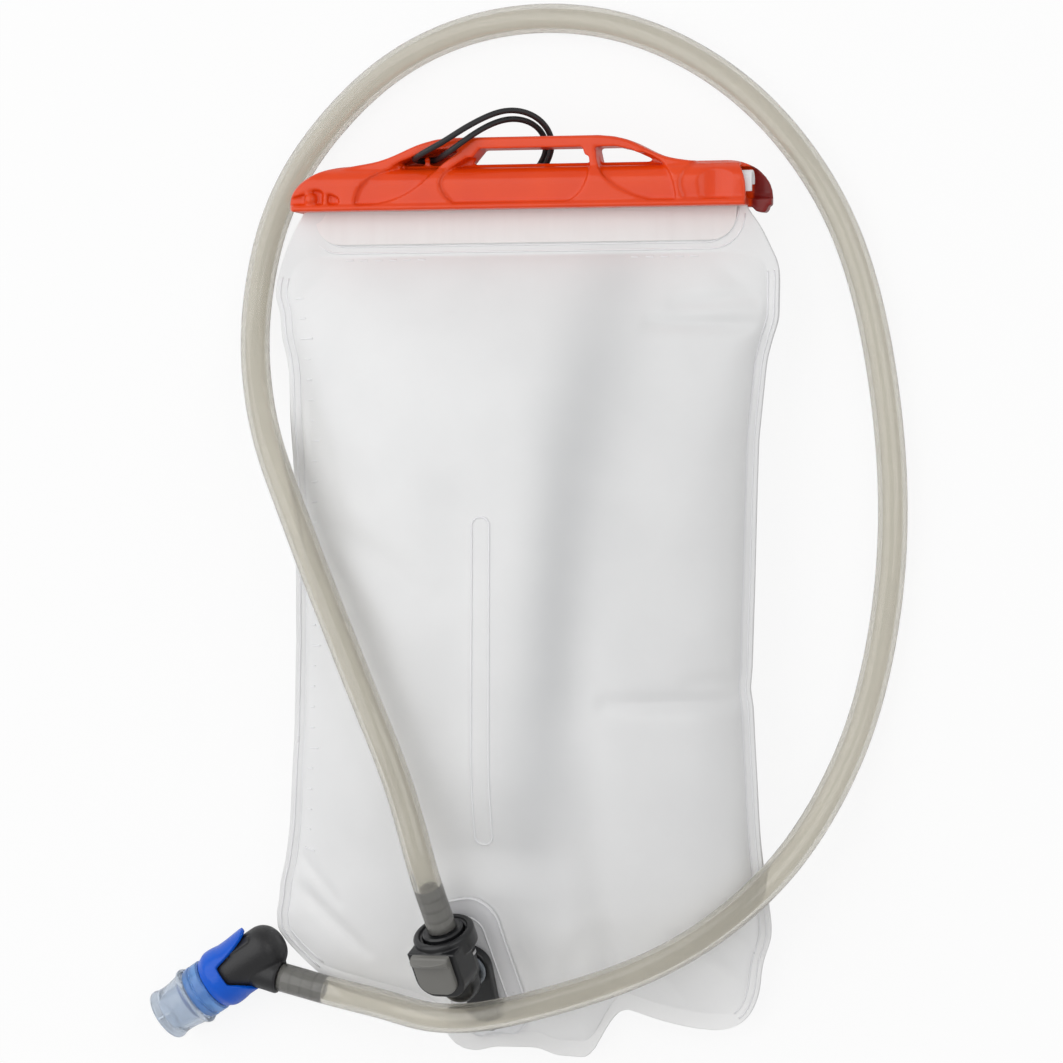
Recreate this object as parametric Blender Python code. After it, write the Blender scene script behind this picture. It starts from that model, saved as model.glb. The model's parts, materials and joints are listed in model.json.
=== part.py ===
"""Hydration bladder lying filled on its back, with slide closure, quick-release hose and bite valve.

Metres, +Z up. The origin is under the middle of the reservoir, on the surface that it lies on.
+Y runs from the outlet at the foot to the slide closure, and +X is to the right seen from the front.
"""

from math import cos, exp, pi, radians, sin, sqrt

import bmesh
import bpy
import numpy as np
from mathutils import Matrix, Vector

MM = 0.001

# Fits shared by all pieces
GAP = 0.3 * MM
CUT_REACH = 7.0 * MM
ROUND_SIDES = 24
COIL_POINTS = 9

# Reservoir film and its outline
FILM = 0.8 * MM
FOOT_Y = -147.0 * MM
FOOT_WIDTH = 174.0 * MM
FOOT_CORNER = 26.0 * MM
WAIST_Y = -15.0 * MM
WAIST_WIDTH = 162.5 * MM
SHOULDER_WIDTH = 179.0 * MM
SHOULDER_DROP = 16.0 * MM
NECK_FOOT_Y = 118.0 * MM
NECK_HEIGHT = 14.0 * MM
MOUTH_HEIGHT = 9.0 * MM
MOUTH_WIDTH = 150.0 * MM
SIDE_SEAM = 4.5 * MM
FOOT_SEAM = 6.0 * MM
LOBE_DROP = 11.8 * MM
LOBE_HALF_WIDTH = 25.0 * MM
LEFT_LIFT = 13.0 * MM
LEFT_LIFT_RUN = 40.0 * MM
FOOT_FADE = 45.0 * MM
SHOULDER_Y = NECK_FOOT_Y - SHOULDER_DROP
NECK_Y = NECK_FOOT_Y + NECK_HEIGHT
FILM_TOP_Y = NECK_Y + MOUTH_HEIGHT

# Height of the filled reservoir
CROWN = 31.0 * MM
FOOT_RISE = 100.0 * MM
NECK_FALL = 95.0 * MM
BACK_FALL = 45.0 * MM
BACK_RISE = 60.0 * MM
BACK_SLACK = 7.0 * MM
FOOT_SEAM_Z = 8.0 * MM
SIDE_SEAM_Z = 23.5 * MM
SIDE_SEAM_Y = -55.0 * MM
SIDE_FULLNESS = 0.6
FOOT_FULLNESS = 0.8
NECK_FULLNESS = 0.9

# Mouth: strips welded on the film, then the fold that the closure holds
MOUTH_Z = 21.5 * MM
STRIP = 1.0 * MM
STRIP_MARGIN = 2.5 * MM
STRIP_CORNER = 7.0 * MM
LIP = 1.6 * MM
LIP_BEND = 2.4 * MM
LIP_OVERHANG = 2.6 * MM
LIP_TAIL = 4.0 * MM

# Baffle web between the panels, and the valley that its weld draws into the front
BAFFLE_X = -8.4 * MM
BAFFLE_UP = 64.0 * MM
BAFFLE_LENGTH = 110.0 * MM
BAFFLE_CLEARANCE = 1.0 * MM
VALLEY_DEPTH = 6.0 * MM
VALLEY_FLOOR = 4.7 * MM
VALLEY_FLANK = 20.0 * MM
VALLEY_FOOT_RUN = 20.0 * MM
VALLEY_NECK_RUN = 45.0 * MM

# Dent across the front, beside the valley
DENT_DEPTH = 3.0 * MM
DENT_HALF_WIDTH = 13.0 * MM
DENT_START = (-84.0 * MM, 62.0 * MM)
DENT_END = (-26.0 * MM, 4.0 * MM)
RELIEF_FULLNESS = 0.25

# Slide closure: a channel round the folded lip
BAR_WALL = 2.5 * MM
LIP_ROOM = 0.4 * MM
LIP_ROOM_ABOVE = 1.2 * MM
LIP_ROOM_BELOW = 1.7 * MM
SLOT_CLEARANCE = 0.6 * MM
NOSE_LENGTH = 7.5 * MM
TAIL_LENGTH = 9.5 * MM
FRONT_WALL_LENGTH = 2.5 * MM
FRONT_WALL_RAKE = 3.4 * MM
LIP_RADIUS = 4.0 * MM
TAIL_RADIUS = 8.0 * MM
EDGE_FLAT = 0.8 * MM
BAR_GRIP = BAR_WALL + LIP_ROOM_BELOW + LIP_OVERHANG
BAR_FOOT_Y = FILM_TOP_Y - BAR_GRIP
BAR_HEIGHT = BAR_GRIP + GAP + LIP + LIP_BEND + LIP / 2 + LIP_ROOM_ABOVE + BAR_WALL
BAR_DEPTH = 2 * (2 * LIP_BEND + LIP / 2 + LIP_ROOM + BAR_WALL)
BAR_LEFT = -MOUTH_WIDTH / 2 - NOSE_LENGTH
BAR_RIGHT = MOUTH_WIDTH / 2 + TAIL_LENGTH
BAR_ROUNDING = LIP_RADIUS - EDGE_FLAT
NOSE_RADIUS = BAR_HEIGHT - LIP_RADIUS - EDGE_FLAT
HANDLE_RISE = 9.1 * MM
HANDLE_BAND = 3.9 * MM
HANDLE_DEPTH = 12.0 * MM
HANDLE_FOOT = (-63.0 * MM, 54.0 * MM)
HANDLE_TOP = (-33.0 * MM, 37.0 * MM)
HANDLE_ROUNDING = 1.2 * MM
POST_X = (-16.9 * MM, 26.1 * MM)
POST_WIDTH = 4.0 * MM
POST_LEAN = 2.0 * MM
PEG_X = -34.3 * MM
PEG_RADIUS = 1.1 * MM
PEG_HEIGHT = 3.6 * MM
NOSE_POCKET = 3.4 * MM
NOSE_POCKET_HEIGHT = 5.5 * MM
NOSE_POCKET_DEPTH = 1.4 * MM
NOSE_POCKET_INSET = 13.2 * MM
NOSE_PILLAR = 2.4 * MM

# Tether
TETHER_DIAMETER = 2.1 * MM
TETHER_POINTS = 62
TAB_INSET = 13.0 * MM
TAB_UP = 9.0 * MM
TAB_WIDTH = 16.0 * MM
TAB_HEIGHT = 9.0 * MM
TAB = 1.5 * MM
TETHER_ROUTE = (
    (-61.0, 127.2, 12.6),
    (-54.0, 128.4, 8.8),
    (-38.0, 131.0, 7.2),
    (-18.0, 135.5, 7.0),
    (-3.0, 142.5, 7.6),
    (5.0, 150.5, 8.8),
    (7.5, 158.5, 11.0),
    (4.0, 165.5, 15.0),
    (-4.5, 168.4, 20.5),
    (-12.5, 165.6, 26.5),
    (-20.0, 161.0, 30.2),
    (-27.0, 156.8, 30.6),
    (-33.0, 153.8, 29.8),
    (-37.0, 152.1, 26.6),
    (-38.2, 151.7, 22.6),
    (-36.8, 151.6, 19.2),
    (-33.2, 151.7, 18.6),
    (-30.4, 152.0, 21.2),
    (-28.0, 152.4, 25.8),
    (-24.0, 154.0, 29.8),
    (-17.6, 158.4, 29.6),
    (-10.9, 163.3, 24.3),
    (-4.2, 165.6, 18.2),
    (2.3, 163.4, 12.8),
    (5.0, 157.7, 9.0),
    (2.9, 151.6, 6.6),
    (-4.3, 144.9, 5.0),
    (-18.6, 138.4, 4.2),
    (-38.0, 134.4, 4.2),
    (-50.0, 132.6, 5.8),
    (-56.6, 131.4, 9.6),
    (-58.6, 129.6, 14.0),
)

# Outlet: welded flange, and the coupling whose axis lies over it
OUTLET_X = -15.5 * MM
OUTLET_UP = 22.5 * MM
OUTLET_HEADING = 3.0
OUTLET_BORE = 10.0 * MM
FLANGE = 1.5 * MM
FLANGE_LIFT = 0.8 * MM
FLANGE_WIDTH = 40.0 * MM
FLANGE_LENGTH = 46.0 * MM
FLANGE_SHIFT = -5.0 * MM
FLANGE_CORNER = 15.0 * MM
FLANGE_STEPS = 5
COUPLING_TURN = 28.0
OUTLET_Y = FOOT_Y + OUTLET_UP

# Drinking hose and the barbs that hold it
HOSE_DIAMETER = 10.2 * MM
HOSE_BORE = 7.0 * MM
HOSE_LEAD = 18.0 * MM
HOSE_POINTS = 78
BARB_LENGTH = 17.0 * MM
BARB_RINGS = 4
BARB_STEP = 0.4 * MM
BARB_WALL = 0.6 * MM
BARB_PEAK = HOSE_BORE / 2 - GAP
BARB_BORE = BARB_PEAK - 2 * BARB_STEP - BARB_WALL

# Plug, and the latch plate that goes round it
PLUG_RADIUS = 6.0 * MM
PLUG_STOP = 9.0 * MM
PLUG_FLANGE_RADIUS = 7.2 * MM
PLUG_FLANGE = 2.4 * MM
LATCH = 1.2 * MM
LATCH_SETBACK = 1.8 * MM
LATCH_CLEARANCE = 0.5 * MM
LATCH_WEB = 0.8 * MM
LATCH_WIRE = 0.25 * MM
LATCH_COIL = 2.6 * MM
LATCH_TURNS = 1.4
LATCH_STATION = PLUG_STOP + LATCH_SETBACK
LATCH_REACH = PLUG_RADIUS + LATCH_CLEARANCE + LATCH_WEB

# Coupling socket, stations along its axis from the elbow
BUTTON_TRAVEL = 2.0 * MM
CHAMBER_RADIUS = 4.6 * MM
HEEL_WALL = 2.4 * MM
HEEL_FLOOR = 2.6 * MM
HEEL_SETBACK = 0.5 * MM
HOUSING_START = 2.5 * MM
COLLAR_STEP = 1.2 * MM
COLLAR_SETBACK = 3.6 * MM
COLLAR_LENGTH = 6.4 * MM
SOCKET_ROUNDING = 0.8 * MM
RISER_BORE = 3.4 * MM
BASE_RADIUS = 9.0 * MM
BASE_TAIL = 22.0 * MM
BASE_TAIL_RADIUS = 5.0 * MM
BASE = 3.0 * MM
SEAT = 1.4 * MM
SEAT_RADIUS = 3.0 * MM
RECESS_DEPTH = 1.6 * MM
HEEL_RADIUS = CHAMBER_RADIUS + HEEL_WALL
HEEL_END = -HEEL_RADIUS - HEEL_SETBACK
CHAMBER_START = HEEL_END + HEEL_FLOOR
SEAT_START = PLUG_STOP - SEAT
HOUSING_RADIUS = LATCH_REACH + BUTTON_TRAVEL + GAP
COLLAR_RADIUS = HOUSING_RADIUS + COLLAR_STEP
COLLAR_START = LATCH_STATION + COLLAR_SETBACK
SOCKET_END = COLLAR_START + COLLAR_LENGTH
AXIS_HEIGHT = FLANGE_LIFT + FLANGE + GAP + COLLAR_RADIUS

# Release button in its boss
POCKET_WALL = 1.6 * MM
POCKET_RIM = 1.3 * MM
BOSS_FOOT = 1.0 * MM
BOSS_CORNER = 6.5 * MM
BUTTON_MARGIN = 0.7 * MM
BUTTON_EDGE = 1.2 * MM
BUTTON_STAND = 1.9 * MM
THUMB_LIP = 3.0 * MM
THUMB_LIP_RISE = 1.8 * MM
POCKET_FLOOR = PLUG_RADIUS + GAP + POCKET_WALL
BOSS_FRONT = POCKET_FLOOR + BUTTON_TRAVEL + POCKET_RIM
BOSS_HALF_WIDTH = LATCH_REACH + BUTTON_MARGIN + BUTTON_EDGE

# Plug seal and shut-off poppet
SEAL_SETBACK = 1.2 * MM
SEAL_WIRE = 0.8 * MM
POPPET_LIFT = 3.0 * MM
POPPET_CLEARANCE = 0.7 * MM
POPPET_DISC = 1.6 * MM
POPPET_STEM = 1.1 * MM
POPPET_WIRE = 0.35 * MM
POPPET_TURNS = 4
SEAL_STATION = COLLAR_START + SEAL_SETBACK
POPPET_RADIUS = CHAMBER_RADIUS - POPPET_CLEARANCE
POPPET_STATION = SEAT_START - POPPET_LIFT - POPPET_CLEARANCE - POPPET_DISC
POPPET_STEM_END = PLUG_STOP - GAP
POPPET_COIL = CHAMBER_RADIUS - POPPET_CLEARANCE - 2 * POPPET_WIRE

HOSE_ROUTE = (
    (-31.5, -70.0, 61.5),
    (-38.0, -51.0, 63.0),
    (-47.0, -31.0, 61.0),
    (-57.0, -10.0, 56.5),
    (-67.5, 11.0, 50.0),
    (-78.0, 31.0, 41.0),
    (-88.5, 52.0, 31.5),
    (-96.5, 73.0, 19.5),
    (-100.5, 94.0, 9.4),
    (-99.5, 113.0, 5.6),
    (-95.0, 131.0, 5.2),
    (-86.0, 150.0, 5.2),
    (-72.5, 167.5, 5.2),
    (-54.0, 184.0, 5.2),
    (-30.5, 196.0, 5.2),
    (-2.0, 201.5, 5.2),
    (26.5, 199.0, 5.2),
    (52.0, 189.5, 5.2),
    (75.0, 174.0, 5.2),
    (94.0, 153.5, 5.2),
    (109.0, 128.0, 5.2),
    (118.5, 99.0, 5.2),
    (124.0, 68.0, 5.2),
    (126.5, 37.0, 5.2),
    (125.5, 6.0, 5.2),
    (121.5, -21.0, 5.4),
    (115.0, -46.0, 7.4),
    (105.5, -69.0, 13.0),
    (93.5, -89.0, 20.8),
    (78.0, -106.0, 28.6),
    (58.0, -120.5, 33.6),
    (34.0, -131.5, 37.0),
    (10.0, -139.0, 40.4),
    (-13.0, -143.9, 41.4),
    (-31.0, -144.2, 36.6),
    (-46.0, -142.0, 28.4),
    (-58.5, -140.4, 20.6),
)

# Bite valve, stations along its axis from the elbow's centre
VALVE_CENTRE = (-105.0 * MM, -130.4 * MM, 12.7 * MM)
VALVE_HEADING = 213.4
VALVE_DIP = 4.0
BRANCH_ANGLE = 47.0
BRANCH_LENGTH = 15.5 * MM
BRANCH_RADIUS = 6.2 * MM
ELBOW_BORE = 6.6 * MM
ELBOW_WALL = 1.9 * MM
ELBOW_DOME_END = -18.0 * MM
ELBOW_DOME = 6.5 * MM
ELBOW_FRONT = 6.0 * MM
ELBOW_BORE_END = -6.0 * MM
ELBOW_RADIUS = ELBOW_BORE + ELBOW_WALL
TWIST_START = 2.0 * MM
TWIST_NOSE = 6.0 * MM
TWIST_WALL = 2.2 * MM
TWIST_ROUNDING = 0.9 * MM
TWIST_END = ELBOW_FRONT + TWIST_NOSE
TWIST_RADIUS = ELBOW_RADIUS + GAP + TWIST_WALL
TWIST_NECK = ELBOW_BORE + GAP
WING = 1.6 * MM
WING_END = -11.0 * MM
WING_SPREAD = 30.0
WING_TIP = 0.2
CORE_FLOOR = 2.0 * MM
CORE_BORE = 3.6 * MM
CORE_SEAL_INSET = 4.9 * MM
CORE_SEAL_WIRE = 0.6 * MM
BARREL_RADIUS = 9.8 * MM
BARREL_LENGTH = 6.7 * MM
NIPPLE_LENGTH = 3.0 * MM
NIPPLE_RADIUS = 6.6 * MM
CORE_START = ELBOW_BORE_END + CORE_FLOOR
CORE_SEAL_STATION = ELBOW_FRONT - CORE_SEAL_INSET
BARREL_END = TWIST_END + GAP + BARREL_LENGTH
NIPPLE_END = BARREL_END + NIPPLE_LENGTH
CAP_LENGTH = 12.5 * MM
CAP_WALL = 1.8 * MM
CAP_RIM = 2.3 * MM
CAP_FLARE = 0.6 * MM
SLIT_LENGTH = 9.0 * MM
SLIT_WIDTH = 0.6 * MM
CAP_END = NIPPLE_END + CAP_LENGTH
CAP_WAIST_RADIUS = NIPPLE_RADIUS + GAP + CAP_WALL
CAP_RIM_RADIUS = CAP_WAIST_RADIUS + CAP_RIM
CAP_TIP_RADIUS = CAP_WAIST_RADIUS + CAP_FLARE


def clear_scene():
    for leftover in list(bpy.data.objects):
        bpy.data.objects.remove(leftover, do_unlink=True)


def make_material(name, colour, roughness, alpha=1.0):
    material = bpy.data.materials.new(name)
    material.use_nodes = True
    shader = material.node_tree.nodes["Principled BSDF"]
    shader.inputs["Base Color"].default_value = (*colour, 1.0)
    shader.inputs["Roughness"].default_value = roughness
    shader.inputs["Metallic"].default_value = 0.0
    shader.inputs["Alpha"].default_value = alpha
    return material


def add_mesh(name, bm, material=None, parent=None):
    """Turn a bmesh into a named object, smooth where its faces meet gently."""
    mesh = bpy.data.meshes.new(name)
    bm.to_mesh(mesh)
    bm.free()
    mesh.shade_smooth()
    mesh.set_sharp_from_angle(angle=radians(40))
    if material:
        mesh.materials.append(material)
    piece = bpy.data.objects.new(name, mesh)
    piece.parent = parent
    bpy.context.collection.objects.link(piece)
    return piece


def add_frame(name, origin, axis_z, axis_y, parent=None):
    """Empty with its Z axis along axis_z and its Y axis as near axis_y as that allows."""
    z = Vector(axis_z).normalized()
    y = (Vector(axis_y) - Vector(axis_y).dot(z) * z).normalized()
    x = y.cross(z)
    frame = bpy.data.objects.new(name, None)
    frame.parent = parent
    frame.matrix_local = Matrix.Translation(origin) @ Matrix((x, y, z)).transposed().to_4x4()
    bpy.context.collection.objects.link(frame)
    return frame


def combine(target, tool, operation):
    """Boolean that keeps its tool as a hidden guide."""
    boolean = target.modifiers.new(f"{operation} {tool.name}", "BOOLEAN")
    boolean.operation = operation
    boolean.solver = "EXACT"
    boolean.object = tool
    tool.hide_render = True
    tool.display_type = "WIRE"


def cut(target, tool):
    combine(target, tool, "DIFFERENCE")


def join(target, tool):
    combine(target, tool, "UNION")


def arc(centre, radius, start, end, steps):
    """Points on a circle from one angle to another, in degrees."""
    angles = [radians(start + (end - start) * k / steps) for k in range(steps + 1)]
    return [(centre[0] + radius * cos(a), centre[1] + radius * sin(a)) for a in angles]


def rounded_outline(low, high, radii, steps=5):
    """Rectangle with its own radius at each corner: low-low, high-low, high-high, low-high."""
    corners = ((low[0], low[1]), (high[0], low[1]), (high[0], high[1]), (low[0], high[1]))
    inward = ((1, 1), (-1, 1), (-1, -1), (1, -1))
    points = []
    for k, (corner, side, radius) in enumerate(zip(corners, inward, radii)):
        centre = (corner[0] + side[0] * radius, corner[1] + side[1] * radius)
        points += arc(centre, radius, 180 + 90 * k, 270 + 90 * k, steps)
    return points


def prism(name, plane, outline, low, high, material=None, parent=None, rounding=0.0):
    """Extrude an outline drawn in XY, YZ or ZX along the third axis, with its end edges rounded."""
    first, second, along = {"XY": (0, 1, 2), "YZ": (1, 2, 0), "ZX": (2, 0, 1)}[plane]
    bm = bmesh.new()
    corners = []
    for point in outline:
        place = [0.0, 0.0, 0.0]
        place[first], place[second], place[along] = point[0], point[1], low
        corners.append(bm.verts.new(place))
    base = bm.faces.new(corners)
    grown = bmesh.ops.extrude_face_region(bm, geom=[base])["geom"]
    lift = [0.0, 0.0, 0.0]
    lift[along] = high - low
    bmesh.ops.translate(bm, verts=[g for g in grown if isinstance(g, bmesh.types.BMVert)], vec=lift)
    bmesh.ops.recalc_face_normals(bm, faces=bm.faces)
    if rounding:
        rims = [e for e in bm.edges if abs(e.verts[0].co[along] - e.verts[1].co[along]) < GAP]
        bmesh.ops.bevel(bm, geom=rims, offset=rounding, segments=3, profile=0.5, affect="EDGES")
    return add_mesh(name, bm, material, parent)


def box(name, low, high, parent=None):
    corners = [(low[0], low[1]), (high[0], low[1]), (high[0], high[1]), (low[0], high[1])]
    return prism(name, "XY", corners, low[2], high[2], None, parent)


def turned(name, profile, material=None, parent=None, closed=False, sides=ROUND_SIDES):
    """Spin a profile of (radius, height) about Z. An open profile starts and ends on the axis."""
    bm = bmesh.new()
    points = [bm.verts.new((radius, 0.0, height)) for radius, height in profile]
    pairs = list(zip(points, points[1:]))
    if closed:
        pairs.append((points[-1], points[0]))
    edges = [bm.edges.new(pair) for pair in pairs]
    bmesh.ops.spin(bm, geom=points + edges, axis=(0, 0, 1), angle=2 * pi, steps=sides, use_merge=True)
    bmesh.ops.remove_doubles(bm, verts=bm.verts, dist=1e-6)
    bmesh.ops.recalc_face_normals(bm, faces=bm.faces)
    return add_mesh(name, bm, material, parent)


def rod(name, radius, low, high, parent=None):
    return turned(name, [(0, low), (radius, low), (radius, high), (0, high)], None, parent)


def ring(name, radius, wire, height, material, parent):
    section = [(radius + p, height + q) for p, q in arc((0, 0), wire, 0, 360, 8)[:-1]]
    return turned(name, section, material, parent, closed=True)


def sheet(name, place, across, along, thickness, material, parent=None):
    """Thin solid on a grid of points, thickened to the side that its faces point to."""
    bm = bmesh.new()
    rows = [[bm.verts.new(place(u, v)) for u in across] for v in along]
    for lower, upper in zip(rows, rows[1:]):
        for a, b, c, d in zip(lower, lower[1:], upper[1:], upper):
            bm.faces.new((a, b, c, d))
    piece = add_mesh(name, bm, material, parent)
    solid = piece.modifiers.new("thickness", "SOLIDIFY")
    solid.thickness = thickness
    solid.offset = 1.0
    return piece


def smooth_path(route, count):
    """Evenly spaced points on a natural cubic spline through the route's own points."""
    knots = np.array(route, dtype=float)
    t = np.concatenate([[0.0], np.cumsum(np.linalg.norm(np.diff(knots, axis=0), axis=1))])
    h = np.diff(t)
    system = np.eye(len(t))
    bend = np.zeros_like(knots)
    for k in range(1, len(t) - 1):
        system[k, k - 1:k + 2] = h[k - 1], 2 * (h[k - 1] + h[k]), h[k]
        bend[k] = 6 * ((knots[k + 1] - knots[k]) / h[k] - (knots[k] - knots[k - 1]) / h[k - 1])
    curvature = np.linalg.solve(system, bend)

    def at(s):
        k = min(max(int(np.searchsorted(t, s)) - 1, 0), len(h) - 1)
        a, b = (t[k + 1] - s) / h[k], (s - t[k]) / h[k]
        curved = (a**3 - a) * curvature[k] + (b**3 - b) * curvature[k + 1]
        return a * knots[k] + b * knots[k + 1] + curved * h[k] ** 2 / 6

    fine = np.array([at(s) for s in np.linspace(0, t[-1], 20 * len(t))])
    length = np.concatenate([[0.0], np.cumsum(np.linalg.norm(np.diff(fine, axis=0), axis=1))])
    even = np.linspace(0, length[-1], count)
    return [Vector([np.interp(s, length, fine[:, axis]) for axis in range(3)]) for s in even]


def tube(name, points, radius, material=None, parent=None, resolution=2):
    """Round cord: a poly spline with a bevel and filled ends."""
    curve = bpy.data.curves.new(name, "CURVE")
    curve.dimensions = "3D"
    curve.bevel_depth = radius
    curve.bevel_resolution = resolution
    curve.use_fill_caps = True
    spline = curve.splines.new("POLY")
    spline.points.add(len(points) - 1)
    for knot, point in zip(spline.points, points):
        knot.co = (*point, 1.0)
    if material:
        curve.materials.append(material)
    cord = bpy.data.objects.new(name, curve)
    cord.parent = parent
    bpy.context.collection.objects.link(cord)
    return cord


def tube_mesh(name, points, radius, material=None, resolution=3):
    """The same tube as a closed mesh, so that a bore can be cut in it."""
    cord = tube(name + "_line", points, radius, None, None, resolution)
    bpy.context.view_layer.update()
    bm = bmesh.new()
    skin = bpy.data.meshes.new_from_object(cord.evaluated_get(bpy.context.evaluated_depsgraph_get()))
    bm.from_mesh(skin)
    bpy.data.objects.remove(cord, do_unlink=True)
    bpy.data.meshes.remove(skin)
    bmesh.ops.remove_doubles(bm, verts=bm.verts, dist=1e-6)
    bmesh.ops.recalc_face_normals(bm, faces=bm.faces)
    return add_mesh(name, bm, material)


def coil(name, radius, wire, low, high, turns, material, parent):
    """Helical spring along Z between two heights."""
    count = int(turns * COIL_POINTS)
    points = []
    for k in range(count + 1):
        angle = 2 * pi * turns * k / count
        points.append((radius * cos(angle), radius * sin(angle), low + (high - low) * k / count))
    return tube(name, points, wire, material, parent, resolution=1)


def ease(t):
    t = min(max(t, 0.0), 1.0)
    return t * t * (3 - 2 * t)


def swell(t, fullness):
    """Rise from 0 to 1, steep at first, as blown-up film leaves its weld."""
    t = min(max(t, 0.0), 1.0)
    return (1 - (1 - t) ** 2) ** fullness


def half_width(y):
    """Half of the reservoir's width, welded edge included."""
    foot, waist, shoulder, mouth = (w / 2 for w in (FOOT_WIDTH, WAIST_WIDTH, SHOULDER_WIDTH, MOUTH_WIDTH))
    corner_y = FOOT_Y + FOOT_CORNER
    if y < corner_y:
        drop = min(corner_y - y, FOOT_CORNER)
        return foot - FOOT_CORNER + sqrt(FOOT_CORNER**2 - drop**2)
    if y < WAIST_Y:
        return foot + (waist - foot) * ease((y - corner_y) / (WAIST_Y - corner_y))
    if y < SHOULDER_Y:
        return waist + (shoulder - waist) * ease((y - WAIST_Y) / (SHOULDER_Y - WAIST_Y))
    if y < NECK_Y:
        return mouth + (shoulder - mouth) * sqrt(1 - ((y - SHOULDER_Y) / (NECK_Y - SHOULDER_Y)) ** 2)
    return mouth


def foot_shift(x):
    """How far the foot's edge leaves its straight line: down at the outlet, up where it is drawn in."""
    lobe = exp(-((x / LOBE_HALF_WIDTH) ** 4))
    drawn_in = ease((-x - LOBE_HALF_WIDTH) / LEFT_LIFT_RUN)
    return LEFT_LIFT * drawn_in - LOBE_DROP * lobe


def seam_z(y):
    """Height of the plane where the two panels are welded."""
    low = FOOT_SEAM_Z + (SIDE_SEAM_Z - FOOT_SEAM_Z) * ease((y - FOOT_Y) / (SIDE_SEAM_Y - FOOT_Y))
    return low + (MOUTH_Z - SIDE_SEAM_Z) * ease((y - SIDE_SEAM_Y) / (NECK_FOOT_Y - SIDE_SEAM_Y))


def fullness(x, y, foot_rise, neck_fall):
    """How far a panel stands off the seam plane: 0 at the welds, 1 where it is full."""
    reach = half_width(y) - SIDE_SEAM
    across = max(0.0, 1 - (x / reach) ** 2) ** SIDE_FULLNESS
    weld_y = FOOT_Y + foot_shift(x) + FOOT_SEAM
    rise = swell((y - weld_y) / foot_rise, FOOT_FULLNESS)
    return across * rise * swell((NECK_FOOT_Y - y) / neck_fall, NECK_FULLNESS)


def valley(x, y):
    """How far the baffle's weld draws the front panel in."""
    foot = FOOT_Y + BAFFLE_UP
    neck = foot + BAFFLE_LENGTH
    run = ease((y - foot) / VALLEY_FOOT_RUN + 1) * ease((neck - y) / VALLEY_NECK_RUN + 1)
    flank = max(abs(x - BAFFLE_X) - VALLEY_FLOOR, 0.0) / VALLEY_FLANK
    return VALLEY_DEPTH * run * exp(-(flank**2))


def dent(x, y):
    """Depth of the soft dent, by the distance from its line."""
    start = Vector(DENT_START)
    run = Vector(DENT_END) - start
    share = min(max((Vector((x, y)) - start).dot(run) / run.length_squared, 0.0), 1.0)
    off = (Vector((x, y)) - start - share * run).length
    return DENT_DEPTH * exp(-((off / DENT_HALF_WIDTH) ** 2))


def front_z(x, y):
    """Inner face of the front panel."""
    full = fullness(x, y, FOOT_RISE, NECK_FALL)
    drawn_in = ease(full / RELIEF_FULLNESS) * (valley(x, y) + dent(x, y))
    return seam_z(y) + GAP / 2 + CROWN * full - drawn_in


def back_z(x, y):
    """Inner face of the back panel, flat where it lies on the surface."""
    sag = (seam_z(y) + BACK_SLACK) * fullness(x, y, BACK_RISE, BACK_FALL)
    return max(FILM, seam_z(y) - GAP / 2 - sag)


def front_normal(x, y):
    step = 1.0 * MM
    slope_x = (front_z(x + step, y) - front_z(x - step, y)) / (2 * step)
    slope_y = (front_z(x, y + step) - front_z(x, y - step)) / (2 * step)
    return Vector((-slope_x, -slope_y, 1.0)).normalized()


def over_front(x, y, lift):
    """Point at a height over the outside of the front panel."""
    return Vector((x, y, front_z(x, y))) + front_normal(x, y) * (FILM + lift)


def panel_rows():
    """Heights of the grid's rows, close together near the welds."""
    weld = FOOT_Y + FOOT_SEAM
    steps = 24
    swelling = [weld + (NECK_FOOT_Y - weld) * (1 - cos(pi * k / steps)) / 2 for k in range(steps + 1)]
    return [FOOT_Y, *swelling, NECK_Y, FILM_TOP_Y]


def panel_columns():
    """Shares of the width between the side welds, with one more column for each welded edge."""
    steps = 12
    return [-2.0, *(sin(pi / 2 * k / steps) for k in range(-steps, steps + 1)), 2.0]


def panel_place(z_of):
    """Grid point of a panel whose inner face has the height z_of(x, y)."""

    def place(u, row_y):
        x = u * (half_width(row_y) - SIDE_SEAM) if abs(u) <= 1 else half_width(row_y) * u / abs(u)
        y = row_y + foot_shift(x) * (1 - ease((row_y - FOOT_Y) / FOOT_FADE))
        return (x, y, z_of(x, y))

    return place


def make_panels(film, outlet):
    columns = panel_columns()
    rows = panel_rows()
    front = sheet("front_panel", panel_place(front_z), columns, rows, FILM, film)
    cut(front, rod("front_panel_port", OUTLET_BORE / 2, -CUT_REACH, CUT_REACH, outlet))
    sheet("back_panel", panel_place(back_z), columns[::-1], rows, FILM, film)


def make_baffle(film):
    steps = 12
    run = [FOOT_Y + BAFFLE_UP + BAFFLE_LENGTH * k / steps for k in range(steps + 1)]
    top = [(y, front_z(BAFFLE_X, y) - BAFFLE_CLEARANCE) for y in run]
    foot = [(y, back_z(BAFFLE_X, y) + BAFFLE_CLEARANCE) for y in reversed(run)]
    prism("baffle_web", "YZ", top + foot, BAFFLE_X - FILM / 2, BAFFLE_X + FILM / 2, film)


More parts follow.
